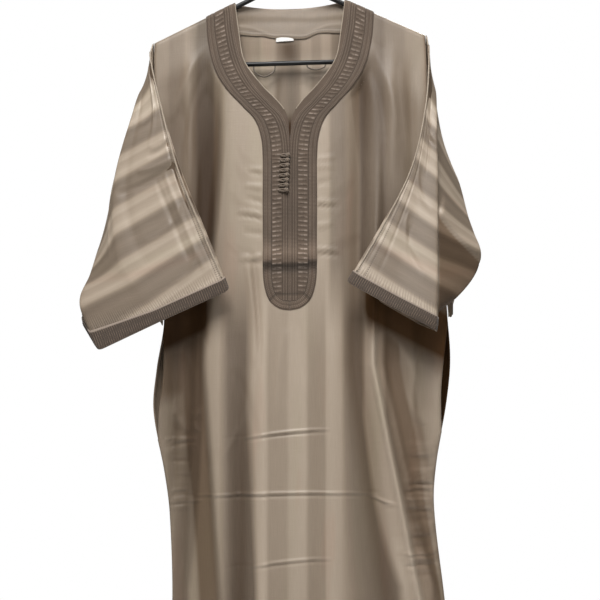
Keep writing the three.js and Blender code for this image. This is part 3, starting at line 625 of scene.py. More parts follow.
def new_piece(name, points, faces, uv=None, tipped=True, shade=None):
    """A mesh object in metres. What lies on the hanger is sheared by its tilt: z gains TILT times x."""
    points = np.array(points, float).reshape(-1, 3)
    if tipped:
        points[:, 2] += TILT * points[:, 0]
    mesh = bpy.data.meshes.new(name)
    mesh.from_pydata((points * MM).tolist(), [], [list(map(int, face)) for face in faces])
    mesh.polygons.foreach_set("use_smooth", np.ones(len(mesh.polygons), bool))
    if uv is not None:
        layer = mesh.uv_layers.new(name="cloth")
        layer.data.foreach_set("uv", (np.asarray(uv, float) * MM).ravel())
    if shade is not None:
        values = mesh.attributes.new("shade", "FLOAT", "POINT").data
        values.foreach_set("value", np.asarray(shade, float).ravel())
    mesh.validate()
    mesh.update()
    piece = bpy.data.objects.new(name, mesh)
    bpy.context.collection.objects.link(piece)
    return piece


def wall(name, grid, outward, inner, outer, closed=False, uv=None, keep=None, tipped=True, shade=None):
    """A closed wall between two offsets of a grid along its normals; outer may vary over the grid.

    shade holds how strongly painted shade darkens each point of the outer layer, and then of the inner layer.
    """
    rows, cols = grid.shape[:2]
    normal, turned = outward_normals(grid, closed, outward)
    reach = np.broadcast_to(np.asarray(outer, float), (rows, cols))[..., None]
    layers = np.concatenate([grid + normal * reach, grid + normal * inner])
    if keep is not None:
        layers = keep(layers)
    wide = cols + (1 if closed else 0)
    if uv is None:
        uv = np.stack(np.meshgrid(np.arange(wide), np.arange(rows)), -1) * 1.0
    j, i = np.mgrid[0 : rows - 1, 0 : wide - 1]
    j, i = j.ravel(), i.ravel()
    corners = [(j, i), (j, i + 1), (j + 1, i + 1), (j + 1, i)]
    face = np.stack([a * cols + b % cols for a, b in corners], -1)
    places = np.stack([a * wide + b for a, b in corners], -1)
    count, lots = rows * cols, rows * wide
    faces, spots = [face, face[:, ::-1] + count], [places, places[:, ::-1] + lots]

    def rim(a, b):
        """Quads between the outer and inner layers, along point rows a then b."""
        at = np.stack([a[0] * cols + a[1] % cols, b[0] * cols + b[1] % cols], -1)
        on = np.stack([a[0] * wide + a[1], b[0] * wide + b[1]], -1)
        faces.append(np.concatenate([at, at[:, ::-1] + count], 1))
        spots.append(np.concatenate([on, on[:, ::-1] + lots], 1))

    i, j = np.arange(wide - 1), np.arange(rows - 1)
    top, foot, end = 0 * i, 0 * i + rows - 1, 0 * j + cols - 1
    rim((top, i + 1), (top, i))
    rim((foot, i), (foot, i + 1))
    if not closed:
        rim((j, 0 * j), (j + 1, 0 * j))
        rim((j + 1, end), (j, end))
    faces, spots = np.concatenate(faces), np.concatenate(spots)
    if turned:
        faces, spots = faces[:, ::-1], spots[:, ::-1]
    both = np.concatenate([uv.reshape(-1, 2), uv.reshape(-1, 2)])
    return new_piece(name, layers, faces, both[spots.ravel()], tipped, shade)


def tube(name, path, radius, sides=12, lean=(0, 1, 0), closed=False, tipped=True, relief=None):
    """A round profile carried along a path, with its ends closed. lean is any direction across it.

    The profile's radius may vary along the path, and relief (points x sides) is added to it.
    """
    path = np.asarray(path, float)
    count = len(path)
    if closed:
        heading = unit(np.roll(path, -1, axis=0) - np.roll(path, 1, axis=0))
    else:
        heading = unit(np.gradient(path, axis=0))
    lean = np.broadcast_to(np.asarray(lean, float), path.shape)
    first = unit(lean - heading * np.sum(lean * heading, axis=1, keepdims=True))
    second = np.cross(heading, first)
    angle = np.arange(sides) * 2 * np.pi / sides
    reach = np.broadcast_to(np.asarray(radius, float), (count,))[:, None] + np.zeros((count, sides))
    if relief is not None:
        reach = reach + relief
    ring = np.cos(angle)[None, :, None] * first[:, None] + np.sin(angle)[None, :, None] * second[:, None]
    points = path[:, None] + ring * reach[..., None]
    wide = count if closed else count - 1
    j, i = (a.ravel() for a in np.mgrid[0:wide, 0:sides])
    corners = [(j, i), (j, i + 1), (j + 1, i + 1), (j + 1, i)]
    face = np.stack([(a % count) * sides + b % sides for a, b in corners], -1)
    run = np.concatenate([[0], np.cumsum(np.linalg.norm(np.diff(path, axis=0), axis=1))])
    run = np.append(run, run[-1] + np.linalg.norm(path[0] - path[-1]))
    around = 2 * np.pi * float(np.mean(reach)) / sides
    uv = np.stack([np.stack([b * around, run[a]], -1) for a, b in corners], 1).reshape(-1, 2)
    faces = face.tolist()
    if not closed:
        ends = [list(range(sides))[::-1], list(range((count - 1) * sides, count * sides))]
        faces += ends
        uv = np.concatenate([uv, np.zeros((2 * sides, 2))])
    return new_piece(name, points, faces, uv, tipped)


# ---- Colours and finishes -----------------------------------------------------------------------------


def paint(red, green, blue):
    """A colour given as 0 to 255 screen values, made linear."""
    return tuple(((c / 255 + 0.055) / 1.055) ** 2.4 if c > 10 else c / 3294 for c in (red, green, blue))


class Net:
    """A node tree being wired, with short calls for the nodes that the finishes use."""

    def __init__(self, tree):
        self.tree = tree

    def put(self, socket, value):
        if isinstance(value, bpy.types.NodeSocket):
            self.tree.links.new(value, socket)
        elif hasattr(value, "__len__") and len(value) == 3 and socket.type == "RGBA":
            socket.default_value = (*value, 1.0)
        else:
            socket.default_value = value

    def node(self, kind, settings=None, **inputs):
        node = self.tree.nodes.new(kind)
        for key, value in (settings or {}).items():
            setattr(node, key, value)
        for key, value in inputs.items():
            self.put(node.inputs[key.replace("_", " ")], value)
        return node

    def math(self, operation, *values, clamp=False):
        node = self.tree.nodes.new("ShaderNodeMath")
        node.operation, node.use_clamp = operation, clamp
        for n, value in enumerate(values):
            self.put(node.inputs[n], value)
        return node.outputs[0]

    def mix(self, factor, a, b, blend="MIX"):
        node = self.tree.nodes.new("ShaderNodeMix")
        node.data_type, node.blend_type = "RGBA", blend
        self.put(node.inputs[0], factor)
        self.put(node.inputs[6], a)
        self.put(node.inputs[7], b)
        return node.outputs[2]

    def ramp(self, factor, stops, ease="LINEAR"):
        """A colour ramp through (place, value) stops; a value is a colour or a grey."""
        node = self.tree.nodes.new("ShaderNodeValToRGB")
        node.color_ramp.interpolation = ease
        elements = node.color_ramp.elements
        elements.remove(elements[1])
        elements[0].position = stops[0][0]
        for place, value in stops[1:]:
            elements.new(place)
        for element, (_, value) in zip(elements, sorted(stops, key=lambda stop: stop[0])):
            element.color = (*value, 1) if hasattr(value, "__len__") else (value, value, value, 1)
        self.put(node.inputs[0], factor)
        return node.outputs[0]

    def scaled(self, vector, x, y, z=1.0):
        node = self.node("ShaderNodeMapping", Vector=vector)
        node.inputs["Scale"].default_value = (x, y, z)
        return node.outputs[0]

    def noise(self, vector, detail=2.0, rough=0.5):
        node = self.node("ShaderNodeTexNoise", Vector=vector, Scale=1.0, Detail=detail, Roughness=rough)
        return node.outputs["Fac"]

    def split(self, vector):
        node = self.node("ShaderNodeSeparateXYZ", Vector=vector)
        return node.outputs["X"], node.outputs["Y"]

    def group(self, tree, **inputs):
        node = self.tree.nodes.new("ShaderNodeGroup")
        node.node_tree = tree
        for key, value in inputs.items():
            self.put(node.inputs[key.replace("_", " ")], value)
        return node


def new_group(name, inputs, outputs):
    """An empty node group with named sockets: inputs are (name, kind, default), outputs (name, kind)."""
    tree = bpy.data.node_groups.new(name, "ShaderNodeTree")
    for label, kind, default in inputs:
        socket = tree.interface.new_socket(label, in_out="INPUT", socket_type=f"NodeSocket{kind}")
        if default is not None:
            socket.default_value = default
    for label, kind in outputs:
        tree.interface.new_socket(label, in_out="OUTPUT", socket_type=f"NodeSocket{kind}")
    net = Net(tree)
    return net, net.node("NodeGroupInput").outputs, net.node("NodeGroupOutput").inputs


def weave_group():
    """Threads over and under: the product of two sine waves, with slubs of stretched noise on top."""
    inputs = [("Vector", "Vector", None), ("Threads", "Float", 1100.0), ("Slub", "Float", 0.5)]
    net, given, out = new_group("Weave", inputs, [("Height", "Float"), ("Tone", "Float")])
    across, down = net.split(given["Vector"])
    turn = net.math("MULTIPLY", given["Threads"], 2 * math.pi)
    warp = net.math("SINE", net.math("MULTIPLY", across, turn))
    weft = net.math("SINE", net.math("MULTIPLY", down, turn))
    plain = net.math("MULTIPLY_ADD", net.math("MULTIPLY", warp, weft), 0.5, 0.5)
    slub = net.noise(net.scaled(given["Vector"], 900, 30), 3.0)
    streak = net.noise(net.scaled(given["Vector"], 90, 1300), 2.0)
    both = net.math("ADD", slub, net.math("MULTIPLY", streak, 0.3))
    net.put(out["Height"], net.math("MULTIPLY_ADD", both, given["Slub"], plain))
    net.put(out["Tone"], net.math("MULTIPLY_ADD", both, 1.0, -0.65))
    return net.tree


def stitch_group():
    """A row of stitches along the second coordinate: a narrow band cut into dashes."""
    inputs = [
        ("Vector", "Vector", None), ("Place", "Float", 0.0),
        ("Pitch", "Float", 0.003), ("Width", "Float", 0.0005),
    ]
    net, given, out = new_group("Stitches", inputs, [("Mask", "Float")])
    across, down = net.split(given["Vector"])
    off = net.math("ABSOLUTE", net.math("SUBTRACT", across, given["Place"]))
    band = net.math("SUBTRACT", 1.3, net.math("DIVIDE", off, given["Width"]), clamp=True)
    phase = net.math("FRACT", net.math("DIVIDE", down, given["Pitch"]))
    from_middle = net.math("ABSOLUTE", net.math("SUBTRACT", phase, 0.5))
    dash = net.math("MULTIPLY", net.math("SUBTRACT", 0.36, from_middle), 9.0, clamp=True)
    net.put(out["Mask"], net.math("MULTIPLY", band, dash))
    return net.tree


def tint_group():
    """Faint pink and green patches in long streaks, as shot threads give, on a base colour."""
    inputs = [("Color", "Color", None), ("Vector", "Vector", None), ("Amount", "Float", 0.5)]
    net, given, out = new_group("Shot tint", inputs, [("Color", "Color")])
    pink = net.noise(net.scaled(given["Vector"], 24, 3.2), 3.0)
    green = net.noise(net.scaled(given["Vector"], 17, 1.7, 1.0), 2.0)
    pink = net.math("MULTIPLY", net.math("MULTIPLY_ADD", pink, 5.0, -2.9, clamp=True), given["Amount"])
    green = net.math("MULTIPLY", net.math("MULTIPLY_ADD", green, 4.0, -2.1, clamp=True), given["Amount"])
    base = net.mix(net.math("MULTIPLY", pink, 0.5), given["Color"], (1.0, 0.80, 0.76), "MULTIPLY")
    net.put(out["Color"], net.mix(net.math("MULTIPLY", green, 0.5), base, (0.90, 0.96, 0.86), "MULTIPLY"))
    return net.tree


def group_named(name):
    """A shared effect's group, built once."""
    if name not in bpy.data.node_groups:
        {"Weave": weave_group, "Stitches": stitch_group, "Shot tint": tint_group}[name]()
    return bpy.data.node_groups[name]


def new_finish(name):
    material = bpy.data.materials.new(name)
    material.use_nodes = True
    net = Net(material.node_tree)
    shader = material.node_tree.nodes["Principled BSDF"]
    return material, net, shader


def uv_place(net):
    """The piece's own UV map, in metres on the cloth."""
    return net.node("ShaderNodeTexCoord").outputs["UV"]


def swapped(net, place):
    """The two coordinates the other way round, for rows of stitches that run across the cloth."""
    return net.node("ShaderNodeCombineXYZ", X=net.split(place)[1], Y=net.split(place)[0]).outputs[0]


def grey(net, value):
    """A grey of one value, to darken or lighten a colour by."""
    return net.node("ShaderNodeCombineColor", Red=value, Green=value, Blue=value).outputs[0]


def toned(colour, by):
    """A colour made darker or lighter, held at full brightness."""
    return tuple(min(1, c * by) for c in colour)


def stitch_row(net, vector, at, pitch, width):
    """The mask of one row of stitches at a place given in mm."""
    row = net.group(group_named("Stitches"), Vector=vector, Place=at * MM, Pitch=pitch, Width=width)
    return row.outputs["Mask"]


def set_shader(shader, **values):
    for key, value in values.items():
        shader.inputs[key.replace("_", " ")].default_value = value


def bump(net, shader, height, distance, strength=1.0):
    node = net.node("ShaderNodeBump", Height=height, Distance=distance, Strength=strength)
    net.put(shader.inputs["Normal"], node.outputs[0])


# Stripe tone across the front below the chest, from dark 0 to light 1, at x in mm: the cloth's stripes
# mixed with painted shade in the folds' recesses and painted highlight on their ridges.
FRONT_STRIPES_AND_SHADING = [
    (-240, 0.28), (-200, 0.36), (-180, 0.26), (-170, 0.36), (-158, 0.26), (-141, 0.28), (-136, 0.56),
    (-112, 0.64), (-104, 0.42), (-96, 0.22), (-70, 0.20), (-63, 0.50), (-56, 0.76), (-37, 0.78), (-32, 0.60),
    (-6, 0.56), (0, 0.70), (24, 0.74), (30, 0.52), (54, 0.50), (58, 0.70), (80, 0.72), (87, 0.42),
    (95, 0.30), (113, 0.32), (120, 0.78), (146, 0.74), (153, 0.44), (164, 0.64), (190, 0.64), (198, 0.46),
    (228, 0.66),
]
# How far, in mm, the front's stripes have moved sideways by the hips, at each x.
FRONT_DRIFT = [
    (-240, -28), (-185, -26), (-160, -22), (-138, -10), (-114, 0), (-100, 0), (-60, 16), (-35, 0),
    (80, 0), (110, 22), (170, 56), (210, 74), (240, 78),
]
# The range that this drift is laid out in: its least, and its span.
DRIFT_LEAST, DRIFT_SPAN = -30, 110
# The drop in metres where the drift starts, and where the chest's stripes and painted shading end, each with
# its blend.
LEAN_FROM, LEAN_OVER = 0.78, 0.27
CHEST_UP_TO, CHEST_OVER = 0.65, 0.11
# What the cloth's colour is multiplied by in full painted shade, and the colour of its stitches.
FULL_SHADE = (0.23, 0.146, 0.080)
STITCH_COLOUR = (0.08, 0.06, 0.045)
# Stripe tone across the front from the shoulders to the chest: the cloth's stripes mixed with painted
# shade and highlight of the folds there.
CHEST_STRIPES_AND_SHADING = [
    (-240, 0.40), (-196, 0.44), (-190, 0.34), (-172, 0.38), (-165, 0.48), (-152, 0.30), (-146, 0.14),
    (-124, 0.12), (-118, 0.40), (-100, 0.50), (-92, 0.58), (-70, 0.60), (-58, 0.64), (50, 0.66),
    (60, 0.62), (66, 0.34),
    (84, 0.30), (92, 0.46), (108, 0.48), (114, 0.16), (130, 0.24), (146, 0.18), (154, 0.30), (180, 0.34),
    (188, 0.46), (210, 0.50), (228, 0.52),
]
# Stripe tone over one repeat of the back's cloth and of the sleeves'.
REPEAT_STRIPES = [
    (0.0, 0.34), (0.03, 0.44), (0.06, 0.70), (0.13, 0.74), (0.16, 0.58), (0.22, 0.60), (0.25, 0.80),
    (0.31, 0.76), (0.34, 0.46), (0.40, 0.36), (0.48, 0.34), (0.52, 0.52), (0.60, 0.66), (0.66, 0.62),
    (0.69, 0.78), (0.80, 0.74), (0.84, 0.48), (0.90, 0.40), (0.96, 0.30), (1.0, 0.34),
]
SLEEVE_STRIPES = [
    (0.0, 0.32), (0.05, 0.24), (0.20, 0.32), (0.38, 0.26), (0.44, 0.36), (0.50, 0.66), (0.60, 0.74),
    (0.66, 0.60), (0.76, 0.66), (0.84, 0.80), (0.92, 0.72), (0.98, 0.38), (1.0, 0.32),
]


def stripe_tone(net, across, stripes):
    """The tone of a table of stripes laid across the cloth by their x."""
    low, high = stripes[0][0], stripes[-1][0]
    share = net.math("MULTIPLY_ADD", across, 1000 / (high - low), -low / (high - low), clamp=True)
    return net.ramp(share, [((x - low) / (high - low), tone) for x, tone in stripes])


def gathers(net, place):
    """Close gathers where the sleeve's cloth meets the cuff: waves round it in a narrow band."""
    down, around = net.split(place)
    edge = CUFF_FROM * SLEEVE_LENGTH * MM
    band = net.math("MULTIPLY_ADD", down, 1 / 0.016, -(edge - 0.018) / 0.016, clamp=True)
    uneven = net.noise(net.scaled(place, 40, 210), 2.0)
    wave = net.math("SINE", net.math("MULTIPLY_ADD", around, 1900.0, net.math("MULTIPLY", uneven, 9.0)))
    return net.math("MULTIPLY", band, wave)


def cloth_finish(name, stripes, period=None, phase=0.0, stitches=(), skew=None):
    """Striped satin: the stripe's tone picks the colour and the gloss, the weave gives the rest.

    A sleeve's cloth has a skew, how far its stripes lag for each unit out from the top seam, and
    gathers above the cuff.
    """
    colours = bpy.context.scene.robe_colours
    material, net, shader = new_finish(name)
    place = uv_place(net)
    across, _ = net.split(place)
    wander = net.noise(net.scaled(place, 3.0, 5.0), 1.0)
    across = net.math("MULTIPLY_ADD", wander, 0.004, net.math("SUBTRACT", across, 0.002))
    if period is None:
        drop = net.split(place)[1]
        lean = net.math("MULTIPLY_ADD", drop, 1 / LEAN_OVER, -LEAN_FROM / LEAN_OVER, clamp=True)
        moves = [(x, (moved - DRIFT_LEAST) / DRIFT_SPAN) for x, moved in FRONT_DRIFT]
        drift = stripe_tone(net, across, moves)
        drift = net.math("MULTIPLY_ADD", drift, DRIFT_SPAN * MM, DRIFT_LEAST * MM)
        drift = net.math("MULTIPLY", drift, lean)
        across = net.math("SUBTRACT", across, drift)
        chest = net.math("MULTIPLY_ADD", drop, -1 / CHEST_OVER, CHEST_UP_TO / CHEST_OVER, clamp=True)
        tone = net.mix(chest, stripe_tone(net, across, stripes), stripe_tone(net, across, CHEST_STRIPES_AND_SHADING))
    else:
        if skew:
            round_to_seam = net.math("ABSOLUTE", net.math("SUBTRACT", net.split(place)[1], 0.28))
            from_middle = net.math("SUBTRACT", round_to_seam, 0.14)
            across = net.math("ADD", across, net.math("MULTIPLY", from_middle, skew))
        share = net.math("FRACT", net.math("MULTIPLY_ADD", across, 1000 / period, phase + 20))
        tone = net.ramp(share, stripes)
    weave = net.group(group_named("Weave"), Vector=place, Threads=700.0, Slub=0.5)
    tone_in = net.math("MULTIPLY_ADD", weave.outputs["Tone"], 0.14, tone)
    stripe_colours = [(0.0, colours.cloth_dark), (0.5, colours.cloth_mid), (1.0, colours.cloth_light)]
    shade = net.ramp(tone_in, stripe_colours)
    tint = net.group(group_named("Shot tint"), Color=shade, Vector=place, Amount=1.0)
    colour, height = tint.outputs["Color"], net.math("MULTIPLY", weave.outputs["Height"], 0.12)
    fine = net.noise(net.scaled(place, 9, 130), 3.0, 0.6)
    off_middle = net.math("ABSOLUTE", net.math("SUBTRACT", fine, 0.5))
    crinkle = net.math("MULTIPLY_ADD", off_middle, -16.0, 1.0, clamp=True)
    height = net.math("MULTIPLY_ADD", crinkle, 0.1, height)
    if skew:
        wave = gathers(net, place)
        height = net.math("MULTIPLY_ADD", wave, 0.5, height)
        # Painted light and shade on the gathers: the colour is lighter over their crests and darker in their
        # troughs.
        lighter = net.math("MULTIPLY_ADD", wave, 0.16, 1.0)
        colour = net.mix(1.0, colour, grey(net, lighter), "MULTIPLY")
    for vertical, at in stitches:
        row = stitch_row(net, place if vertical else swapped(net, place), at, 0.0034, 0.0007)
        colour = net.mix(net.math("MULTIPLY", row, 0.7), colour, STITCH_COLOUR)
        height = net.math("SUBTRACT", height, net.math("MULTIPLY", row, 0.6))
    # Painted shade: the shade attribute darkens the colour towards FULL_SHADE, and damps the specular and the
    # sheen.
    deep = net.node("ShaderNodeAttribute", {"attribute_name": "shade"}).outputs["Fac"]
    deep = net.ramp(deep, [(0.0, 0.0), (0.8, 0.71), (1.0, 1.0)])
    colour = net.mix(deep, colour, FULL_SHADE, "MULTIPLY")
    net.put(shader.inputs["Base Color"], colour)
    net.put(shader.inputs["Roughness"], net.math("MULTIPLY_ADD", tone, -0.16, 0.56))
    lit = net.math("MULTIPLY_ADD", deep, -0.85, 1.0)
    net.put(shader.inputs["Specular IOR Level"], net.math("MULTIPLY", lit, 0.5))
    net.put(shader.inputs["Sheen Weight"], net.math("MULTIPLY", lit, 0.25))
    set_shader(shader, Sheen_Roughness=0.4)
    set_shader(shader, Sheen_Tint=(*paint(230, 215, 195), 1.0))
    bump(net, shader, height, 0.0006, 0.6)
    return material


# Neck braid, in mm in from its outer border: ground tone at each place, and the rows of dots.
BRAID_WIDE = 52.0
BRAID_TONES = [
    (0.0, 1.25), (0.7, 1.25), (1.2, 0.55), (1.9, 0.95), (7.2, 1.0), (7.7, 0.7), (8.2, 1.0), (13.0, 0.95),
    (13.8, 0.45), (14.8, 0.95), (30.4, 0.95), (31.2, 0.45), (32.0, 0.95), (34.8, 1.0), (35.4, 0.5),
    (36.0, 1.0), (38.8, 0.95), (39.6, 0.45), (40.4, 1.0), (52.0, 1.0),
]
BRAID_DOTS = (3.2, 5.4, 10.2, 12.0, 33.4, 37.4, 41.6, 44.0)
PLACKET_RUN = 267.4
PLACKET_DROP = 372.0
# Tone down the placket at each drop: a painted highlight over its soft fold, painted shade below it, and dark
# at the foot's seam.
PLACKET_TONES = [
    (498, 0.95), (520, 1.4), (534, 1.3), (539, 0.36), (547, 0.5), (556, 1.0), (583, 0.95), (586, 0.45),
    (588, 1.2), (600, 1.1),
]
# The length in metres that those tones are laid over.
BRAID_RUN = 0.6


def placket_run(drop):
    """Distance along the braid at a drop on the placket."""
    return (PLACKET_RUN + drop - PLACKET_DROP) * MM


def braid_finish():
    """Neck braid: the second UV runs along the band, the first across it from its outer border.

    From the border inwards: a close braid with rows of dots, a ladder of paired rungs that step like
    stairs, and two narrow braids by the opening. Painted highlight and shade lie over the placket's
    fold, and its foot is darker and lighter.
    """
    colours = bpy.context.scene.robe_colours
    material, net, shader = new_finish("neck_braid_thread")
    place = uv_place(net)
    across, down = net.split(place)
    share = net.math("MULTIPLY", across, 1000 / BRAID_WIDE, clamp=True)
    tones = net.ramp(share, [(at / BRAID_WIDE, toned(colours.braid, tone)) for at, tone in BRAID_TONES])
    uneven = net.noise(net.scaled(place, 90, 160), 3.0)
    worn = net.math("MULTIPLY_ADD", uneven, 3.4, -1.25, clamp=True)
    step = net.math("ADD", down, net.math("MULTIPLY", net.math("SUBTRACT", across, 0.022), 0.08))
    rung = net.math("FRACT", net.math("DIVIDE", step, 0.0073))
    rung = net.ramp(rung, [(0.0, 0.0), (0.16, 0.85), (0.36, 1.0), (0.56, 0.0), (1.0, 0.0)])
    columns = [(14.9, 0.0), (16.0, 1.0), (20.8, 1.0), (22.2, 0.25), (23.6, 1.0), (29.0, 0.9), (30.4, 0.0)]
    ladder = net.ramp(share, [(at / BRAID_WIDE, value) for at, value in columns])
    foot = net.math("MULTIPLY_ADD", down, -1 / 0.006, placket_run(584) / 0.006, clamp=True)
    rungs = net.math("MULTIPLY", net.math("MULTIPLY", rung, ladder), foot)
    colour = net.mix(net.math("MULTIPLY", rungs, worn), tones, colours.ladder)
    plait = net.math("SINE", net.math("MULTIPLY", down, 2 * math.pi / 0.0021))
    grain = net.noise(net.scaled(place, 900, 900), 2.0)
    patch = net.noise(net.scaled(place, 36, 22), 3.0)
    raised = net.math("MULTIPLY_ADD", rungs, 0.7, net.math("MULTIPLY", grain, 0.5))
    height = net.math("MULTIPLY_ADD", plait, 0.15, raised)
    for at in BRAID_DOTS:
        row = stitch_row(net, place, at, 0.0022, 0.0005)
        colour = net.mix(net.math("MULTIPLY", row, 0.42), colour, colours.ladder)
        height = net.math("MULTIPLY_ADD", row, 0.45, height)
    # Painted highlight and shade down the placket's fold, and a darker and lighter line at its foot.
    placket_shading = [(0.0, 1.0), (0.30, 0.92)]
    placket_shading += [(placket_run(drop) / BRAID_RUN, value) for drop, value in PLACKET_TONES]
    placket_shading += [(1.0, 1.0)]
    placket_shading = [(at, value / 1.5) for at, value in placket_shading]
    placket_shading = net.ramp(net.math("DIVIDE", down, BRAID_RUN, clamp=True), placket_shading)
    tone = net.math("MULTIPLY_ADD", grain, 0.5, net.math("MULTIPLY_ADD", patch, 0.7, 0.4))
    tone = net.math("MULTIPLY", net.math("MULTIPLY", tone, 1.5), placket_shading)
    colour = net.mix(1.0, colour, grey(net, tone), "MULTIPLY")
    tint = net.group(group_named("Shot tint"), Color=colour, Vector=place, Amount=1.2)
    net.put(shader.inputs["Base Color"], tint.outputs["Color"])
    set_shader(shader, Roughness=0.78, Specular_IOR_Level=0.25, Sheen_Weight=0.15, Sheen_Roughness=0.5)
    bump(net, shader, height, 0.0009, 0.9)
    return material


def cuff_finish():
    """Ribbed cuff braid: ribs run across the band, with darker gaps and a light border line."""
    colours = bpy.context.scene.robe_colours
    material, net, shader = new_finish("cuff_braid")
    place = uv_place(net)
    across, down = net.split(place)
    rib = net.math("FRACT", net.math("DIVIDE", across, bpy.context.scene.robe_sizes.rib * MM))
    gap, dark, light = toned(colours.cuff, 0.55), colours.cuff, toned(colours.cuff, 2.7)
    ribs = net.ramp(rib, [(0.0, gap), (0.3, dark), (0.5, light), (0.7, dark), (1.0, gap)])
    edges = [(0.0, 1.0), (0.08, 1.0), (0.13, 0.0), (0.88, 0.0), (0.92, 0.4)]
    border = net.ramp(net.math("MULTIPLY", down, 1000 / 22.0, clamp=True), edges)
    patch = net.noise(net.scaled(place, 70, 200), 3.0)
    colour = net.mix(net.math("MULTIPLY_ADD", patch, 5.0, -2.2, clamp=True), ribs, dark)
    colour = net.mix(net.math("MULTIPLY", border, 0.8), colour, colours.ladder)
    grain = net.noise(net.scaled(place, 1300, 1300), 2.0)
    tint = net.group(group_named("Shot tint"), Color=colour, Vector=place, Amount=0.8)
    net.put(shader.inputs["Base Color"], tint.outputs["Color"])
    set_shader(shader, Roughness=0.7, Specular_IOR_Level=0.35, Sheen_Weight=0.25, Sheen_Roughness=0.5)
    bump(net, shader, net.math("MULTIPLY_ADD", grain, 0.6, rib), 0.0006, 0.6)
    return material


def thread_finish(name, base, shine=0.6, scale=900.0):
    """Twisted thread or knotted cord: fine diagonal strands in two tones."""
    material, net, shader = new_finish(name)
    place = uv_place(net)
    across, down = net.split(place)
    slant = net.math("MULTIPLY", across, 2.6 * scale)
    strand = net.math("SINE", net.math("MULTIPLY_ADD", down, 2.6 * scale, slant))
    grain = net.noise(net.scaled(place, 700, 700), 2.0)
    tone = net.math("MULTIPLY_ADD", strand, 0.25, net.math("MULTIPLY_ADD", grain, 0.5, 0.25))
    strands = [(0.0, toned(base, 0.6)), (0.6, base), (1.0, toned(base, 1.5))]
    net.put(shader.inputs["Base Color"], net.ramp(tone, strands))
    set_shader(shader, Roughness=shine, Sheen_Weight=0.2)
    bump(net, shader, strand, 0.0004, 0.6)
    return material


def label_finish():
    """Blank woven label: close satin weave."""
    colours = bpy.context.scene.robe_colours
    material, net, shader = new_finish("label_satin")
    place = uv_place(net)
    weave = net.group(group_named("Weave"), Vector=place, Threads=2200.0, Slub=0.6)
    shade = net.ramp(weave.outputs["Tone"], [(0.0, toned(colours.label, 0.86)), (0.6, colours.label)])
    net.put(shader.inputs["Base Color"], shade)
    set_shader(shader, Roughness=0.55, Sheen_Weight=0.2)
    bump(net, shader, weave.outputs["Height"], 0.0003, 0.4)
    return material


def coated_finish():
    """The hanger's black coating over wire: satin, with faint scuffs."""
    colours = bpy.context.scene.robe_colours
    material, net, shader = new_finish("hanger_coating")
    place = net.node("ShaderNodeTexCoord").outputs["Object"]
    scuff = net.noise(net.scaled(place, 60, 400, 60), 4.0)
    wear = net.ramp(scuff, [(0.0, 0.0), (0.58, 0.0), (0.7, 1.0)])
    scuffed = net.mix(net.math("MULTIPLY", wear, 0.4), colours.hanger, paint(40, 36, 34))
    net.put(shader.inputs["Base Color"], scuffed)
    net.put(shader.inputs["Roughness"], net.math("MULTIPLY_ADD", wear, 0.2, 0.42))
    set_shader(shader, Specular_IOR_Level=0.3, Coat_Weight=0.1, Coat_Roughness=0.3)
    bump(net, shader, net.noise(net.scaled(place, 500, 500, 500), 3.0), 0.0002, 0.3)
    return material


def finish(name, make):
    """A finish by its name, made the first time that a piece wants it."""
    return bpy.data.materials.get(name) or make()


def dress(piece, material, slot, *nodes):
    """Give a piece its material and hide the CAD nodes that it stands for; its slot is not used."""
    piece.data.materials.append(material)
    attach(piece, "root")
    if nodes:
        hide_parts(*nodes)
    return piece


# ---- Properties ---------------------------------------------------------------------------------------


def length_property(name, description, default, least, most):
    """A length in millimetres."""
    said = f"{description}, in millimetres"
    return bpy.props.FloatProperty(name=name, description=said, default=default, min=least, max=most)


class RobeSizes(bpy.types.PropertyGroup):
    cloth: length_property("Cloth thickness", "Thickness of the striped cloth", 1.2, 0.4, 1.6)
    braid: length_property("Braid height", "How far the neck braid stands off the cloth", 2.3, 1.0, 3.4)
    rib: length_property("Cuff rib pitch", "From one cuff rib to the next", 3.6, 2.0, 8.0)
    knot: length_property("Knot radius", "Radius of a knot button", 3.7, 2.5, 3.9)
    piping: length_property("Piping radius", "Radius of the cord along the top seams", 1.2, 0.6, 2.0)
    wire: length_property("Hanger rod radius", "Radius of the hanger's frame", 3.8, 2.5, 4.0)


def colour_property(name, description, default):
    """A colour that a user would change."""
    return bpy.props.FloatVectorProperty(
        name=name, description=description, subtype="COLOR", default=default, min=0, max=1
    )


class RobeColours(bpy.types.PropertyGroup):
    cloth_light: colour_property("Light stripe", "Satin stripe at its lightest", paint(190, 174, 156))
    cloth_mid: colour_property("Middle stripe", "Cloth between the stripes", paint(144, 129, 112))
    cloth_dark: colour_property("Dark stripe", "Cloth at its darkest", paint(76, 62, 50))
    braid: colour_property("Braid", "Neck braid's ground", paint(92, 78, 66))
    ladder: colour_property("Ladder", "Ladder rungs and light threads of the braid", paint(150, 135, 122))
    cuff: colour_property("Cuff braid", "Ribbed braid on the cuffs", paint(70, 58, 48))
    piping: colour_property("Piping", "Cord along the neck's edge and the top seams", paint(158, 143, 125))
    facing: colour_property("Facing", "Satin inside the back of the neck", paint(127, 112, 95))
    label: colour_property("Label", "Blank label", paint(240, 237, 232))
    knot: colour_property("Knots", "Knot buttons and their loops", paint(114, 99, 84))
    hanger: colour_property("Hanger", "Coating of the hanger", paint(9, 8, 8))
    strap: colour_property("Strap loops", "Loops on the hanger's bar", paint(104, 93, 80))


# ---- Operators ----------------------------------------------------------------------------------------


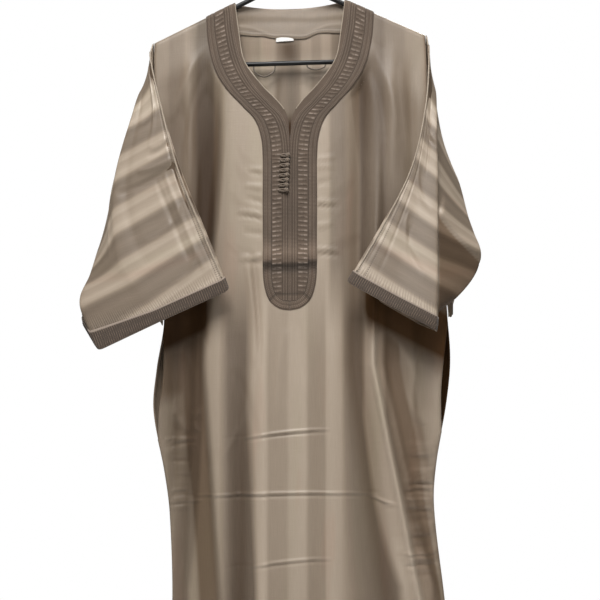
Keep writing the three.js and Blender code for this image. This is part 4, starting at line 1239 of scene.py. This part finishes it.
def front_puckers():
    """Rows of small puckers, laid out as creases: along both side hems and beside the neck braid."""
    left = [
        (
            182 + 6 * math.sin(n * 2.3), 830 + n * 10.5, 232, 834 + n * 10.5,
            math.sin(n * 1.7) * 2, 3.0, 2.6 * (-1) ** (n // 2 % 2),
        )
        for n in range(20)
    ]
    right = [
        (
            -190, 816 + n * 13.0, -158 + 5 * math.sin(n * 1.9), 812 + n * 13.0,
            math.sin(n * 2.7) * 2, 3.0, 1.9,
        )
        for n in range(9)
    ]
    beside = [
        (side * (134 - 1.6 * n), 186 + 8.2 * n, side * (123 - 1.6 * n), 194 + 8.2 * n, 0, 2.2, 2.4)
        for side in (-1, 1)
        for n in range(5)
    ]
    return left + right + beside


class ROBE_OT_front(bpy.types.Operator):
    """Front panel, from the neckline and its slit to the hem."""

    bl_idname = "robe.front"
    bl_label = "Front panel"

    def execute(self, context):
        """Columns start along the neckline, from the foot of the slit outwards, and then the shoulder."""
        share = half_shares(66, 31)
        neck = TRIM[:NECK_ROWS, :2][::-1]
        neck = along_path(np.concatenate([[[0, SLIT_DROP]], neck]), np.abs(share) / NECK_SHARE)
        in_neck = np.abs(share) <= NECK_SHARE
        top_x = np.where(in_neck, neck[:, 0], shoulder_x(share))
        top_drop = np.where(in_neck, neck[:, 1], shoulder_drop(shoulder_x(share)))
        creases = FRONT_CREASES + front_puckers()
        grid = panel_grid(-1, top_x, top_drop, share, FRONT_FOLDS, creases, SIDE_SLIT_SET)
        x, drop = grid[..., 0], -grid[..., 2]
        uv = np.stack([x, drop], -1)
        # Painted shade: a dark streak beside the placket's foot, the shadow under the sleeves, shade in the
        # recesses behind the folds, and an even shade on the inner layer.
        placket_shading = 0.36 * bell((x + 59 - 0.066 * (drop - 547)) / 3.5) * smooth((drop - 525) / 25)
        placket_shading = placket_shading * (1 - smooth((drop - 620) / 100))
        outside = np.maximum(1.15 * shadow_under_sleeves(x, drop), placket_shading)
        outside = np.maximum(0.8 * hollow(-grid[..., 1], 16, 17.0), outside)
        shade = np.stack([outside, 0.3 + 0 * outside])
        cloth = context.scene.robe_sizes.cloth
        piece = wall("front_cloth", grid, FRONTWARD, -cloth, 0, uv=uv, keep=keep_front, shade=shade)
        make = lambda: cloth_finish("front_satin", FRONT_STRIPES_AND_SHADING, stitches=[(False, 1496)])
        dress(piece, finish("front_satin", make), "cloth", "front_panel")
        return {"FINISHED"}


class ROBE_OT_back(bpy.types.Operator):
    """Back panel, from the shoulders and the back neck to the hem."""

    bl_idname = "robe.back"
    bl_label = "Back panel"

    def execute(self, context):
        share = half_shares(56, 27)
        in_neck = np.abs(share) < NECK_SHARE
        round_neck = NECK_HALF * np.sin(np.abs(share) / NECK_SHARE * np.pi / 2)
        top_x = np.where(in_neck, round_neck, shoulder_x(share))
        grid = panel_grid(1, top_x, back_edge_drop(top_x), share, BACK_FOLDS, BACK_CREASES, 0)
        x, drop = grid[..., 0], -grid[..., 2]
        uv = np.stack([x, drop], -1)
        # Painted shade: on the inside, under the label's tuck, in a darker streak, high in the neck and over
        # the whole inside below 300 mm down, less at the right edge; outside, in the recesses behind the folds.
        tuck_shade = bell((x + 5 - 0.12 * (drop - 180)) / 13)
        tuck_shade = tuck_shade * smooth((drop - 178) / 6) * (1 - smooth((drop - 204) / 16))
        streak = 0.4 * bell((x + 18 + 0.1 * (drop - 240)) / 6) * smooth((drop - 222) / 20)
        shade_inside_robe = smooth((drop - 288) / 26) * (1 - 0.45 * smooth((-120 - x) / 20))
        outside = hollow(grid[..., 1], 16, 16.0)
        inside = np.maximum(np.maximum(0.42 * (1 - smooth((drop - 192) / 26)) + 0.4 * tuck_shade, streak), shade_inside_robe)
        cloth, shade = context.scene.robe_sizes.cloth, np.stack([outside, inside])
        piece = wall("back_cloth", grid, BACKWARD, -cloth, 0, uv=uv, keep=keep_back, shade=shade)
        make = lambda: cloth_finish("back_satin", REPEAT_STRIPES, 176.0, 0.948, stitches=[(False, 1496)])
        dress(piece, finish("back_satin", make), "cloth", "back_panel")
        return {"FINISHED"}


def keep_front(points):
    points[..., 1] = np.minimum(points[..., 1], -SEWN)
    return points


def keep_back(points):
    points[..., 1] = np.maximum(points[..., 1], SEWN)
    return points


SIDES = (
    ("right", -1, RIGHT_RINGS, RIGHT_CREASES, RIGHT_PLEATS),
    ("left", 1, LEFT_RINGS, LEFT_CREASES, LEFT_PLEATS),
)


def sleeve_shade(side, share, along):
    """Shade on a sleeve: beyond the left one's standing crease, below its ridge, and under both arms."""
    under = smooth((share - 0.42) / 0.1) * (1 - smooth((share - 0.86) / 0.12))
    if side < 0:
        return 0.35 * under + 0.22 * smooth((share - 0.2) / 0.2) + 0 * along
    ridge = 0.61 + (share - 0.185) * 0.757
    beyond = smooth((share - 0.178) / 0.012) * (1 - smooth((share - 0.40) / 0.2))
    return np.clip(0.35 * under + beyond * (0.03 + 0.77 * smooth((along - ridge) / 0.016)), 0, 1)


def sleeve_shares(count):
    """Shares round a sleeve, closer together at its top and underarm folds."""
    even = np.arange(count) / count
    return even - 0.02 * np.sin(4 * np.pi * even)


class ROBE_OT_sleeves(bpy.types.Operator):
    """Both sleeves, each a wide tube that falls from the hanger's tip and swings forward."""

    bl_idname = "robe.sleeves"
    bl_label = "Sleeves"

    def execute(self, context):
        sizes = context.scene.robe_sizes
        for word, side, rings, creases, pleats in SIDES:
            share, along = sleeve_shares(270), np.linspace(0, 1, 120)
            grid = sleeve_points(side, rings, share, along, creases, pleats)
            uv = np.stack(np.meshgrid(np.append(share, 1) * SLEEVE_ROUND, along * SLEEVE_LENGTH), -1)[..., ::-1]
            outside = sleeve_shade(side, share[None, :], along[:, None])
            # Painted shade: the outer layer as sleeve_shade gives, and the inner layer evenly darkened.
            shade = np.stack([outside, np.full(grid.shape[:2], 0.7)])
            piece = wall(
                f"{word}_sleeve_cloth", grid, ring_outward(grid), -sizes.cloth, 0, closed=True,
                uv=uv, tipped=False, shade=shade,
            )
            rows = [(False, 2.2), (False, 5.6 if side < 0 else 11.0)]
            named = f"{word}_sleeve_satin"
            skew = 0.25 if side < 0 else 0.14
            make = lambda: cloth_finish(named, SLEEVE_STRIPES, 76.0, 0.1, rows, skew)
            dress(piece, finish(named, make), "cloth", f"sleeve_{word}")
        return {"FINISHED"}


class ROBE_OT_cuffs(bpy.types.Operator):
    """Ribbed braid round each sleeve's hem."""

    bl_idname = "robe.cuffs"
    bl_label = "Cuff braid"

    def execute(self, context):
        rib = context.scene.robe_sizes.rib
        for word, side, rings, _, pleats in SIDES:
            share, along = sleeve_shares(760), np.linspace(CUFF_FROM, 1.0, CUFF_ROWS)
            row = np.arange(CUFF_ROWS)
            grid = sleeve_points(side, rings, share, along, (), pleats)
            around = lengths(np.concatenate([grid, grid[:, :1]], 1), 1)
            around = around * (np.round(around[:, -1:] / rib) * rib / around[:, -1:])
            down = np.broadcast_to((along[:, None] - CUFF_FROM) * SLEEVE_LENGTH, around.shape)
            edge = np.minimum(row, row[::-1])[:, None]
            ribs = 0.35 * (1 - np.cos(2 * np.pi * around[:, :-1] / rib)) * (edge > 1)
            cord = 0.5 * bell((row[:, None] - 1.0) / 0.8)
            outer = 1.1 + ribs + cord - 0.6 * (edge == 0)
            piece = wall(
                f"{word}_cuff_braid", grid, ring_outward(grid), 0.1, outer, closed=True,
                uv=np.stack([around, down], -1), tipped=False,
            )
            dress(piece, finish("cuff_braid", cuff_finish), "cuff", f"cuff_trim_{word}")
        return {"FINISHED"}


def braid_relief(across, down):
    """Height of the neck braid's parts over distance in from its border: two braids and the ladder."""
    outer = 0.5 * bell((across - 4.4) / 2.8) + 0.5 * bell((across - 10.8) / 2.6)
    inner = 0.5 * bell((across - 33.4) / 1.7) + 0.5 * bell((across - 37.4) / 1.8)
    inner = inner + 0.5 * bell((across - 42.4) / 2.4)
    rung = np.clip(0.3 + 1.4 * np.sin(2 * np.pi * ((down + 0.08 * (across - 22)) / 7.3 - 0.03)), 0, 1)
    ladder = smooth((across - 15.2) / 1.2) * smooth((30.2 - across) / 1.2) * smooth((484 - down) / 6)
    return outer + inner + 0.45 * ladder * rung


def placket_lines(x, drop, inwards, down):
    """Where the braid's lines run: along its border near it, and straight down the placket inside that."""
    straight = (drop > PLACKET_DROP) & (inwards > 14.4)
    across = np.where(straight, np.maximum(14.5, 43 - np.abs(x)), inwards)
    return across, np.where(straight, PLACKET_RUN + drop - PLACKET_DROP, down)


def placket_fold(drop):
    """The soft fold across the placket: it swells out above and tucks in below."""
    return 2.4 * bell((drop - 524) / 12) - 1.8 * bell((drop - 545) / 7)


class ROBE_OT_neck_braid(bpy.types.Operator):
    """Braid round the neck, down the placket and round the back of the neck."""

    bl_idname = "robe.neck_braid"
    bl_label = "Neck braid"

    def execute(self, context):
        height = context.scene.robe_sizes.braid
        rows = np.linspace(0, len(TRIM) - 1, 4000)
        centre = curve(np.arange(len(TRIM)), TRIM, rows)
        middle = front_at(centre[:, [0, 2]].mean(1), centre[:, [1, 3]].mean(1))
        run = np.concatenate([[0], np.cumsum(np.linalg.norm(np.diff(middle, axis=0), axis=1))])
        even = np.interp(np.linspace(0, run[-1], 410), run, rows)
        edges = curve(np.arange(len(TRIM)), TRIM, even)
        across = np.linspace(0, 1, 54)[None, :]
        material = finish("neck_braid_thread", braid_finish)
        for word, side in (("right", -1), ("left", 1)):
            x = mix(edges[:, 0:1], edges[:, 2:3], across) - 0.57 * (1 - across)
            drop = mix(edges[:, 1:2], edges[:, 3:4], across)
            x = np.maximum(x - 0.9 * (1 - smooth((x - 0.6) / 3)) * smooth((drop - 575) / 10), 0.03)
            grid = front_at(side * x, drop)
            wide = lengths(grid, 1)
            inwards = wide[:, -1:] - wide
            down = np.broadcast_to(np.linspace(0, run[-1], 410)[:, None], inwards.shape)
            inwards, down = placket_lines(x, drop, inwards, down)
            step = smooth(np.where(drop > PLACKET_DROP, 1 - across, np.minimum(across, 1 - across)) / 0.03)
            outer = (height - 0.9 + braid_relief(inwards, down)) * mix(0.55, 1, step) + placket_fold(drop)

            def keep(points, side=side):
                points[..., 0] = side * np.maximum(side * points[..., 0], -0.3)
                return keep_front(points)

            uv = np.stack([inwards, down], -1)
            piece = wall(f"{word}_neck_braid", grid, FRONTWARD, 0.1, outer, uv=uv, keep=keep)
            dress(piece, material, "braid", f"neck_trim_{word}")
        make = lambda: plain_satin("neck_edge_satin", context.scene.robe_colours.piping)
        edge_cord = finish("neck_edge_satin", make)
        line = curve(np.arange(len(TRIM)), TRIM[:, :2], np.linspace(0.05, 4.5, 240))
        for word, side in (("right", -1), ("left", 1)):
            path = front_at(side * (line[:, 0] - 0.2), line[:, 1])
            path[:, 1] = np.minimum(path[:, 1] - 1.2, -1.2)
            path[:, 0] = side * np.maximum(side * path[:, 0], 1.0)
            dress(tube(f"{word}_neck_edge", path, 0.7, 8, (0, 1, 0)), edge_cord, "cloth")
        share = np.linspace(0, 1, 260)[:, None]
        share = mix(share, 0.5 - 0.5 * np.cos(np.pi * share), 0.3)
        inner_x = mix(-NECK_HALF, NECK_HALF, share)
        edge = along_path(BACK_TRIM_EDGE, share[:, 0])
        across = np.linspace(0, 1, 40)[None, :]
        x = mix(inner_x, edge[:, 0:1], across)
        drop = mix(back_edge_drop(inner_x), edge[:, 1:2], across)
        grid = back_at(x, drop)
        wide = lengths(grid, 1)
        inwards, down = wide[:, -1:] - wide, lengths(grid, 0)[:, 25:26] + 0 * wide
        step = smooth(np.minimum(across, 1 - across) / 0.03)
        outer = (height - 0.9 + braid_relief(inwards, down)) * mix(0.55, 1, step)
        uv = np.stack([inwards, down], -1)
        piece = wall("back_neck_braid", grid, BACKWARD, 0.1, outer, uv=uv, keep=keep_back)
        dress(piece, material, "braid", "neck_trim_back")
        return {"FINISHED"}


class ROBE_OT_facing(bpy.types.Operator):
    """Satin facing and blank label inside the back of the neck."""

    bl_idname = "robe.facing"
    bl_label = "Facing and label"

    def execute(self, context):
        cloth = context.scene.robe_sizes.cloth
        across, down = np.linspace(0, 1, 120)[None, :], np.linspace(0, 1, 36)[:, None]
        x = mix(-86.0, 86.0, across) + 0 * down
        foot = 174.5 - 6.5 * smooth((np.abs(x) - 22) / 26) + 1.2 * np.sin(x / 11)
        grid = back_at(x, mix(back_edge_drop(x) + 2, foot, down))
        soft = 0.8 * bell((grid[..., 2] + 139 + 3 * np.sin(x / 30)) / 7)
        soft = soft - 0.5 * bell((grid[..., 2] + 148) / 6)
        turned_in = 0.72 + 0.18 * smooth((70 - np.abs(x)) / 40)
        hem = 0.5 * bell((down - 0.93) / 0.035) + 0.4 * bell((down - turned_in) / 0.05)
        grid[..., 1] -= hem + soft + 0.25 * np.sin(x / 9) * hump(down)
        uv = np.stack([x, down * 45 + 0 * x], -1)
        piece = wall("neck_facing_satin", grid, BACKWARD, -cloth - 1.5, -cloth - 0.3, uv=uv, keep=keep_back)
        rows = [(False, 41.5), (False, 38.0)]
        make = lambda: plain_satin("facing_satin", context.scene.robe_colours.facing, rows)
        dress(piece, finish("facing_satin", make), "facing", "neck_facing")
        across, down = np.linspace(0, 1, 30)[None, :], np.linspace(0, 1, 16)[:, None]
        grid = back_at(mix(-22.5, 5.5, across) + 0 * down, mix(170.0, 179.0, down) + 1.2 * (0.5 - across))
        grid[..., 1] -= 0.4 + 0.9 * down * hump(across)
        uv = np.stack(np.meshgrid(across[0] * 28, down[:, 0] * 10.5), -1)
        piece = wall("blank_label", grid, BACKWARD, -cloth - 1.1, -cloth - 0.4, uv=uv)
        dress(piece, finish("label_satin", label_finish), "label", "neck_label")
        return {"FINISHED"}


def plain_satin(name, base, stitches=()):
    """Unstriped satin with a fine weave and any rows of stitches."""
    material, net, shader = new_finish(name)
    place = uv_place(net)
    weave = net.group(group_named("Weave"), Vector=place, Threads=900.0, Slub=0.8)
    patch = net.noise(net.scaled(place, 30, 60), 3.0)
    tone = net.math("MULTIPLY_ADD", weave.outputs["Tone"], 0.5, net.math("MULTIPLY_ADD", patch, 0.8, 0.1))
    colour = net.ramp(tone, [(0.0, toned(base, 0.7)), (0.5, base), (1.0, toned(base, 1.2))])
    height = weave.outputs["Height"]
    for vertical, at in stitches:
        row = stitch_row(net, place if vertical else swapped(net, place), at, 0.003, 0.0006)
        colour = net.mix(net.math("MULTIPLY", row, 0.7), colour, (0.1, 0.08, 0.06))
    tint = net.group(group_named("Shot tint"), Color=colour, Vector=place, Amount=0.6)
    net.put(shader.inputs["Base Color"], tint.outputs["Color"])
    set_shader(shader, Roughness=0.42, Sheen_Weight=0.25)
    bump(net, shader, height, 0.0004, 0.4)
    return material


def braid_face(x, drop, height):
    """The y of the neck braid's outer face."""
    return float(front_at(np.array([x]), np.array([drop]))[0, 1]) - height - 0.2


class ROBE_OT_knots(bpy.types.Operator):
    """Knot buttons down the foot of the slit, and the loops that hold them."""

    bl_idname = "robe.knots"
    bl_label = "Knots and loops"

    def execute(self, context):
        """A knot is a ball whose radius carries two families of crossing strands."""
        sizes, colours = context.scene.robe_sizes, context.scene.robe_colours
        knot = finish("knot_thread", lambda: thread_finish("knot_thread", colours.knot, 0.62))
        turn = np.linspace(0.02, 0.98, 25)[:, None] * np.pi
        angle = np.arange(28)[None, :] * 2 * np.pi / 28
        strands = np.maximum(np.abs(np.sin(3 * angle + 2.0 * turn)), np.abs(np.sin(3 * angle - 2.0 * turn)))
        for n in range(KNOT_COUNT):
            x, drop = KNOT_X + KNOT_STEP * n, KNOT_FIRST + KNOT_PITCH * n
            y = braid_face(x, drop, sizes.braid) - sizes.knot * 0.8
            lean = 0.25 * math.sin(n * 2.1)
            way = unit(np.array([lean, -1.0, 0.2 * math.cos(n * 1.3)]))
            path = np.array([x, y, -drop]) - way * np.cos(turn) * sizes.knot
            relief = (strands - 0.7) * 0.9 * np.sin(turn)
            ball = tube(f"knot_{n + 1}", path, sizes.knot * np.sin(turn[:, 0]), 28, (0, 0, 1), relief=relief)
            dress(ball, knot, "knot", f"knot_button_{n + 1}")
            end = np.linspace(0, 1, 60)
            out = hump(end)
            left = x - sizes.knot - 9.8 * out
            up = 1.15 * np.cos(np.pi * end)
            loop = np.stack([left + 2.0, np.full(60, y + 0.6) + 1.0 * out, -drop + 1.7 * up], -1)
            cord = tube(f"loop_{n + 1}", loop, 1.15, 10, (0, 1, 0))
            dress(cord, knot, "knot", f"knot_loop_{n + 1}")
        return {"FINISHED"}


class ROBE_OT_piping(bpy.types.Operator):
    """Cord along each sleeve's top seam."""

    bl_idname = "robe.piping"
    bl_label = "Piping"

    def execute(self, context):
        sizes, colours = context.scene.robe_sizes, context.scene.robe_colours
        cord = finish("piping_satin", lambda: plain_satin("piping_satin", colours.piping))
        for word, side, rings, _, _ in SIDES:
            along = np.linspace(0.012, CUFF_FROM - 0.004, 220)
            strip = sleeve_points(side, rings, np.array([0.0, 0.01, 0.02]), along)
            lift = unit(np.cross(strip[:, 2] - strip[:, 0], np.gradient(strip[:, 0], axis=0)))
            lift = lift * np.where(lift[:, 1:2] > 0, -1, 1)
            piece = tube(f"{word}_top_piping", strip[:, 0] + lift * 0.5, sizes.piping, 10, lift, tipped=False)
            dress(piece, cord, "cloth")
        return {"FINISHED"}


def hanger_frame():
    """The frame's closed line: two sloping arms from a rounded apex, round turns, and the bar below."""
    slope = math.atan2(TIP_DROP - NECK_DROP, TIP_HALF - NECK_HALF)
    arm = lambda x: float(shoulder_drop(x)) + SHOULDER_ROUND / math.cos(slope)
    tip, bar = 194.0, 216.0
    bend = (bar - arm(tip)) / (1 + math.cos(slope))
    cx, cd = tip - bend * math.sin(slope), bar - bend
    turn = [(cx + bend * math.cos(a), cd + bend * math.sin(a)) for a in (-0.42, -0.1, 0.35, 0.8, 1.2)]
    half = [(14, arm(14) - 1.5), (60, arm(60)), (130, arm(130)), (tip - 6, arm(tip - 6))]
    half += turn + [(cx - 8, bar), (90, bar)]
    return half + [(-x, drop) for x, drop in half[::-1]]


def round_line(points, count, closed):
    """A smooth line through points, by their distance along it."""
    points = np.asarray(points, float)
    if closed:
        points = np.concatenate([points[-3:], points, points[:3]])
    run = np.concatenate([[0], np.cumsum(np.linalg.norm(np.diff(points, axis=0), axis=1) ** 0.5)])
    low, high = (run[3], run[-3]) if closed else (run[0], run[-1])
    return curve(run, points, np.linspace(low, high, count, endpoint=not closed))


class ROBE_OT_hanger(bpy.types.Operator):
    """Hanger of coated rod, its hook, and the two thin loops on its bar."""

    bl_idname = "robe.hanger"
    bl_label = "Hanger"

    def execute(self, context):
        sizes, colours = context.scene.robe_sizes, context.scene.robe_colours
        coating = finish("hanger_coating", coated_finish)
        line = np.array([(x, 0, -drop) for x, drop in hanger_frame()], float)
        rod = tube("hanger_rod", round_line(line, 320, True), sizes.wire, 20, (0, 1, 0), closed=True)
        dress(rod, coating, "hanger", "hanger")
        arc = [math.radians(a) for a in (-55, -20, 15, 50, 90, 130, 165, 195)]
        hook = [(0, 0, -91), (0, 0, -73), (4, 0, -50)]
        hook += [(23 * math.cos(a), 0, 23 * math.sin(a) - 20) for a in arc]
        line = round_line(hook, 150, False)
        end = np.linspace(0, 1, 150)
        radius = 3.0 * np.sqrt(np.clip(1 - np.clip((end - 0.985) / 0.0152, 0, 1) ** 2, 0.02, 1))
        radius = radius + 1.6 * smooth((0.08 - end) / 0.03)
        dress(tube("hanger_hook", line, radius, 18, (0, 1, 0)), coating, "hanger")
        thread = finish("strap_thread", lambda: thread_finish("strap_thread", colours.strap, 0.4))
        for word, x, half, deep in (("right", -41, 17.5, 17), ("left", 42, 15, 8)):
            top = 216 + 3.5
            bow = [(x - half, -top), (x - half * 0.85, -top - deep * 0.55), (x, -top - deep)]
            bow += [(x + half * 0.85, -top - deep * 0.55), (x + half, -top)]
            line = round_line([(a, 0, z) for a, z in bow], 60, False)
            loop = tube(f"{word}_strap_loop", line, 1.25, 10, (0, 1, 0))
            dress(loop, thread, "strap_loop", f"strap_loop_{word}")
        return {"FINISHED"}


class ROBE_OT_stage(bpy.types.Operator):
    """Pale floor, soft lights, white surroundings and the camera."""

    bl_idname = "robe.stage"
    bl_label = "Stage"

    def execute(self, context):
        scene = context.scene
        angle = np.arange(128) * 2 * np.pi / 128
        rim = np.stack([2300 * np.cos(angle), 2300 * np.sin(angle), np.full(128, -1640.0)], -1)
        floor = new_piece("floor", rim, [list(range(128))], tipped=False)
        material, net, shader = new_finish("floor_paint")
        place = net.node("ShaderNodeTexCoord").outputs["Object"]
        grain = net.noise(net.scaled(place, 3, 3, 3), 3.0)
        pale = [(0.0, paint(236, 235, 232)), (1.0, paint(244, 243, 241))]
        net.put(shader.inputs["Base Color"], net.ramp(grain, pale))
        set_shader(shader, Roughness=0.7)
        floor.data.materials.append(material)
        world = bpy.data.worlds.new("studio")
        scene.world = world
        world.use_nodes = True
        net = Net(world.node_tree)
        ground = world.node_tree.nodes["Background"]
        seen = net.node("ShaderNodeLightPath").outputs["Is Camera Ray"]
        ground.inputs["Color"].default_value = (1, 1, 1, 1)
        net.put(ground.inputs["Strength"], net.math("MULTIPLY_ADD", seen, 0.93, 0.07))
        lamps = [
            ("key", (-200, -1700, 1700), 1300, 109.0),
            ("fill", (500, -2800, 0), 1500, 8.0),
            ("back", (300, 2200, 1300), 1300, 84.0),
            ("top", (0, -100, 1700), 1200, 6.0),
        ]
        for name, place, size, power in lamps:
            lamp = bpy.data.lights.new(name, "AREA")
            lamp.size, lamp.energy = size * MM, power
            holder = bpy.data.objects.new(name, lamp)
            holder.location = [c * MM for c in place]
            aim = np.array([0, 0, -600.0]) - np.array(place, float)
            holder.rotation_euler = look_along(aim)
            scene.collection.objects.link(holder)
        camera = bpy.data.cameras.new("camera")
        camera.sensor_width, camera.lens = 36.0, 18.0 / math.tan(math.radians(13.5))
        camera.clip_end = 50.0
        holder = bpy.data.objects.new("camera", camera)
        holder.location = (0.016, -2.0, -0.595)
        holder.rotation_euler = (math.pi / 2, 0, 0)
        scene.collection.objects.link(holder)
        scene.camera = holder
        scene.view_settings.view_transform = "Standard"
        return {"FINISHED"}


def look_along(aim):
    """The turn that points an object's -Z along a direction."""
    x, y, z = aim
    return (math.atan2(math.hypot(x, y), -z), 0, math.atan2(y, x) - math.pi / 2)


class ROBE_PT_panel(bpy.types.Panel):
    """Sizes, colours and pieces of the robe."""

    bl_idname = "ROBE_PT_panel"
    bl_label = "Robe"
    bl_space_type = "VIEW_3D"
    bl_region_type = "UI"
    bl_category = "Robe"

    def draw(self, context):
        for group in (context.scene.robe_sizes, context.scene.robe_colours):
            for key in group.__annotations__:
                self.layout.prop(group, key)
        for operator in OPERATORS:
            self.layout.operator(operator.bl_idname)


OPERATORS = (
    ROBE_OT_stage,
    ROBE_OT_front,
    ROBE_OT_back,
    ROBE_OT_sleeves,
    ROBE_OT_cuffs,
    ROBE_OT_neck_braid,
    ROBE_OT_facing,
    ROBE_OT_knots,
    ROBE_OT_piping,
    ROBE_OT_hanger,
)
CLASSES = (RobeSizes, RobeColours, *OPERATORS, ROBE_PT_panel)


def register():
    for item in CLASSES:
        bpy.utils.register_class(item)
    bpy.types.Scene.robe_sizes = bpy.props.PointerProperty(type=RobeSizes)
    bpy.types.Scene.robe_colours = bpy.props.PointerProperty(type=RobeColours)


def unregister():
    del bpy.types.Scene.robe_colours
    del bpy.types.Scene.robe_sizes
    for item in reversed(CLASSES):
        bpy.utils.unregister_class(item)


def main():
    register()
    for operator in OPERATORS:
        group, name = operator.bl_idname.split(".")
        getattr(getattr(bpy.ops, group), name)()


if __name__ == "__main__":
    main()
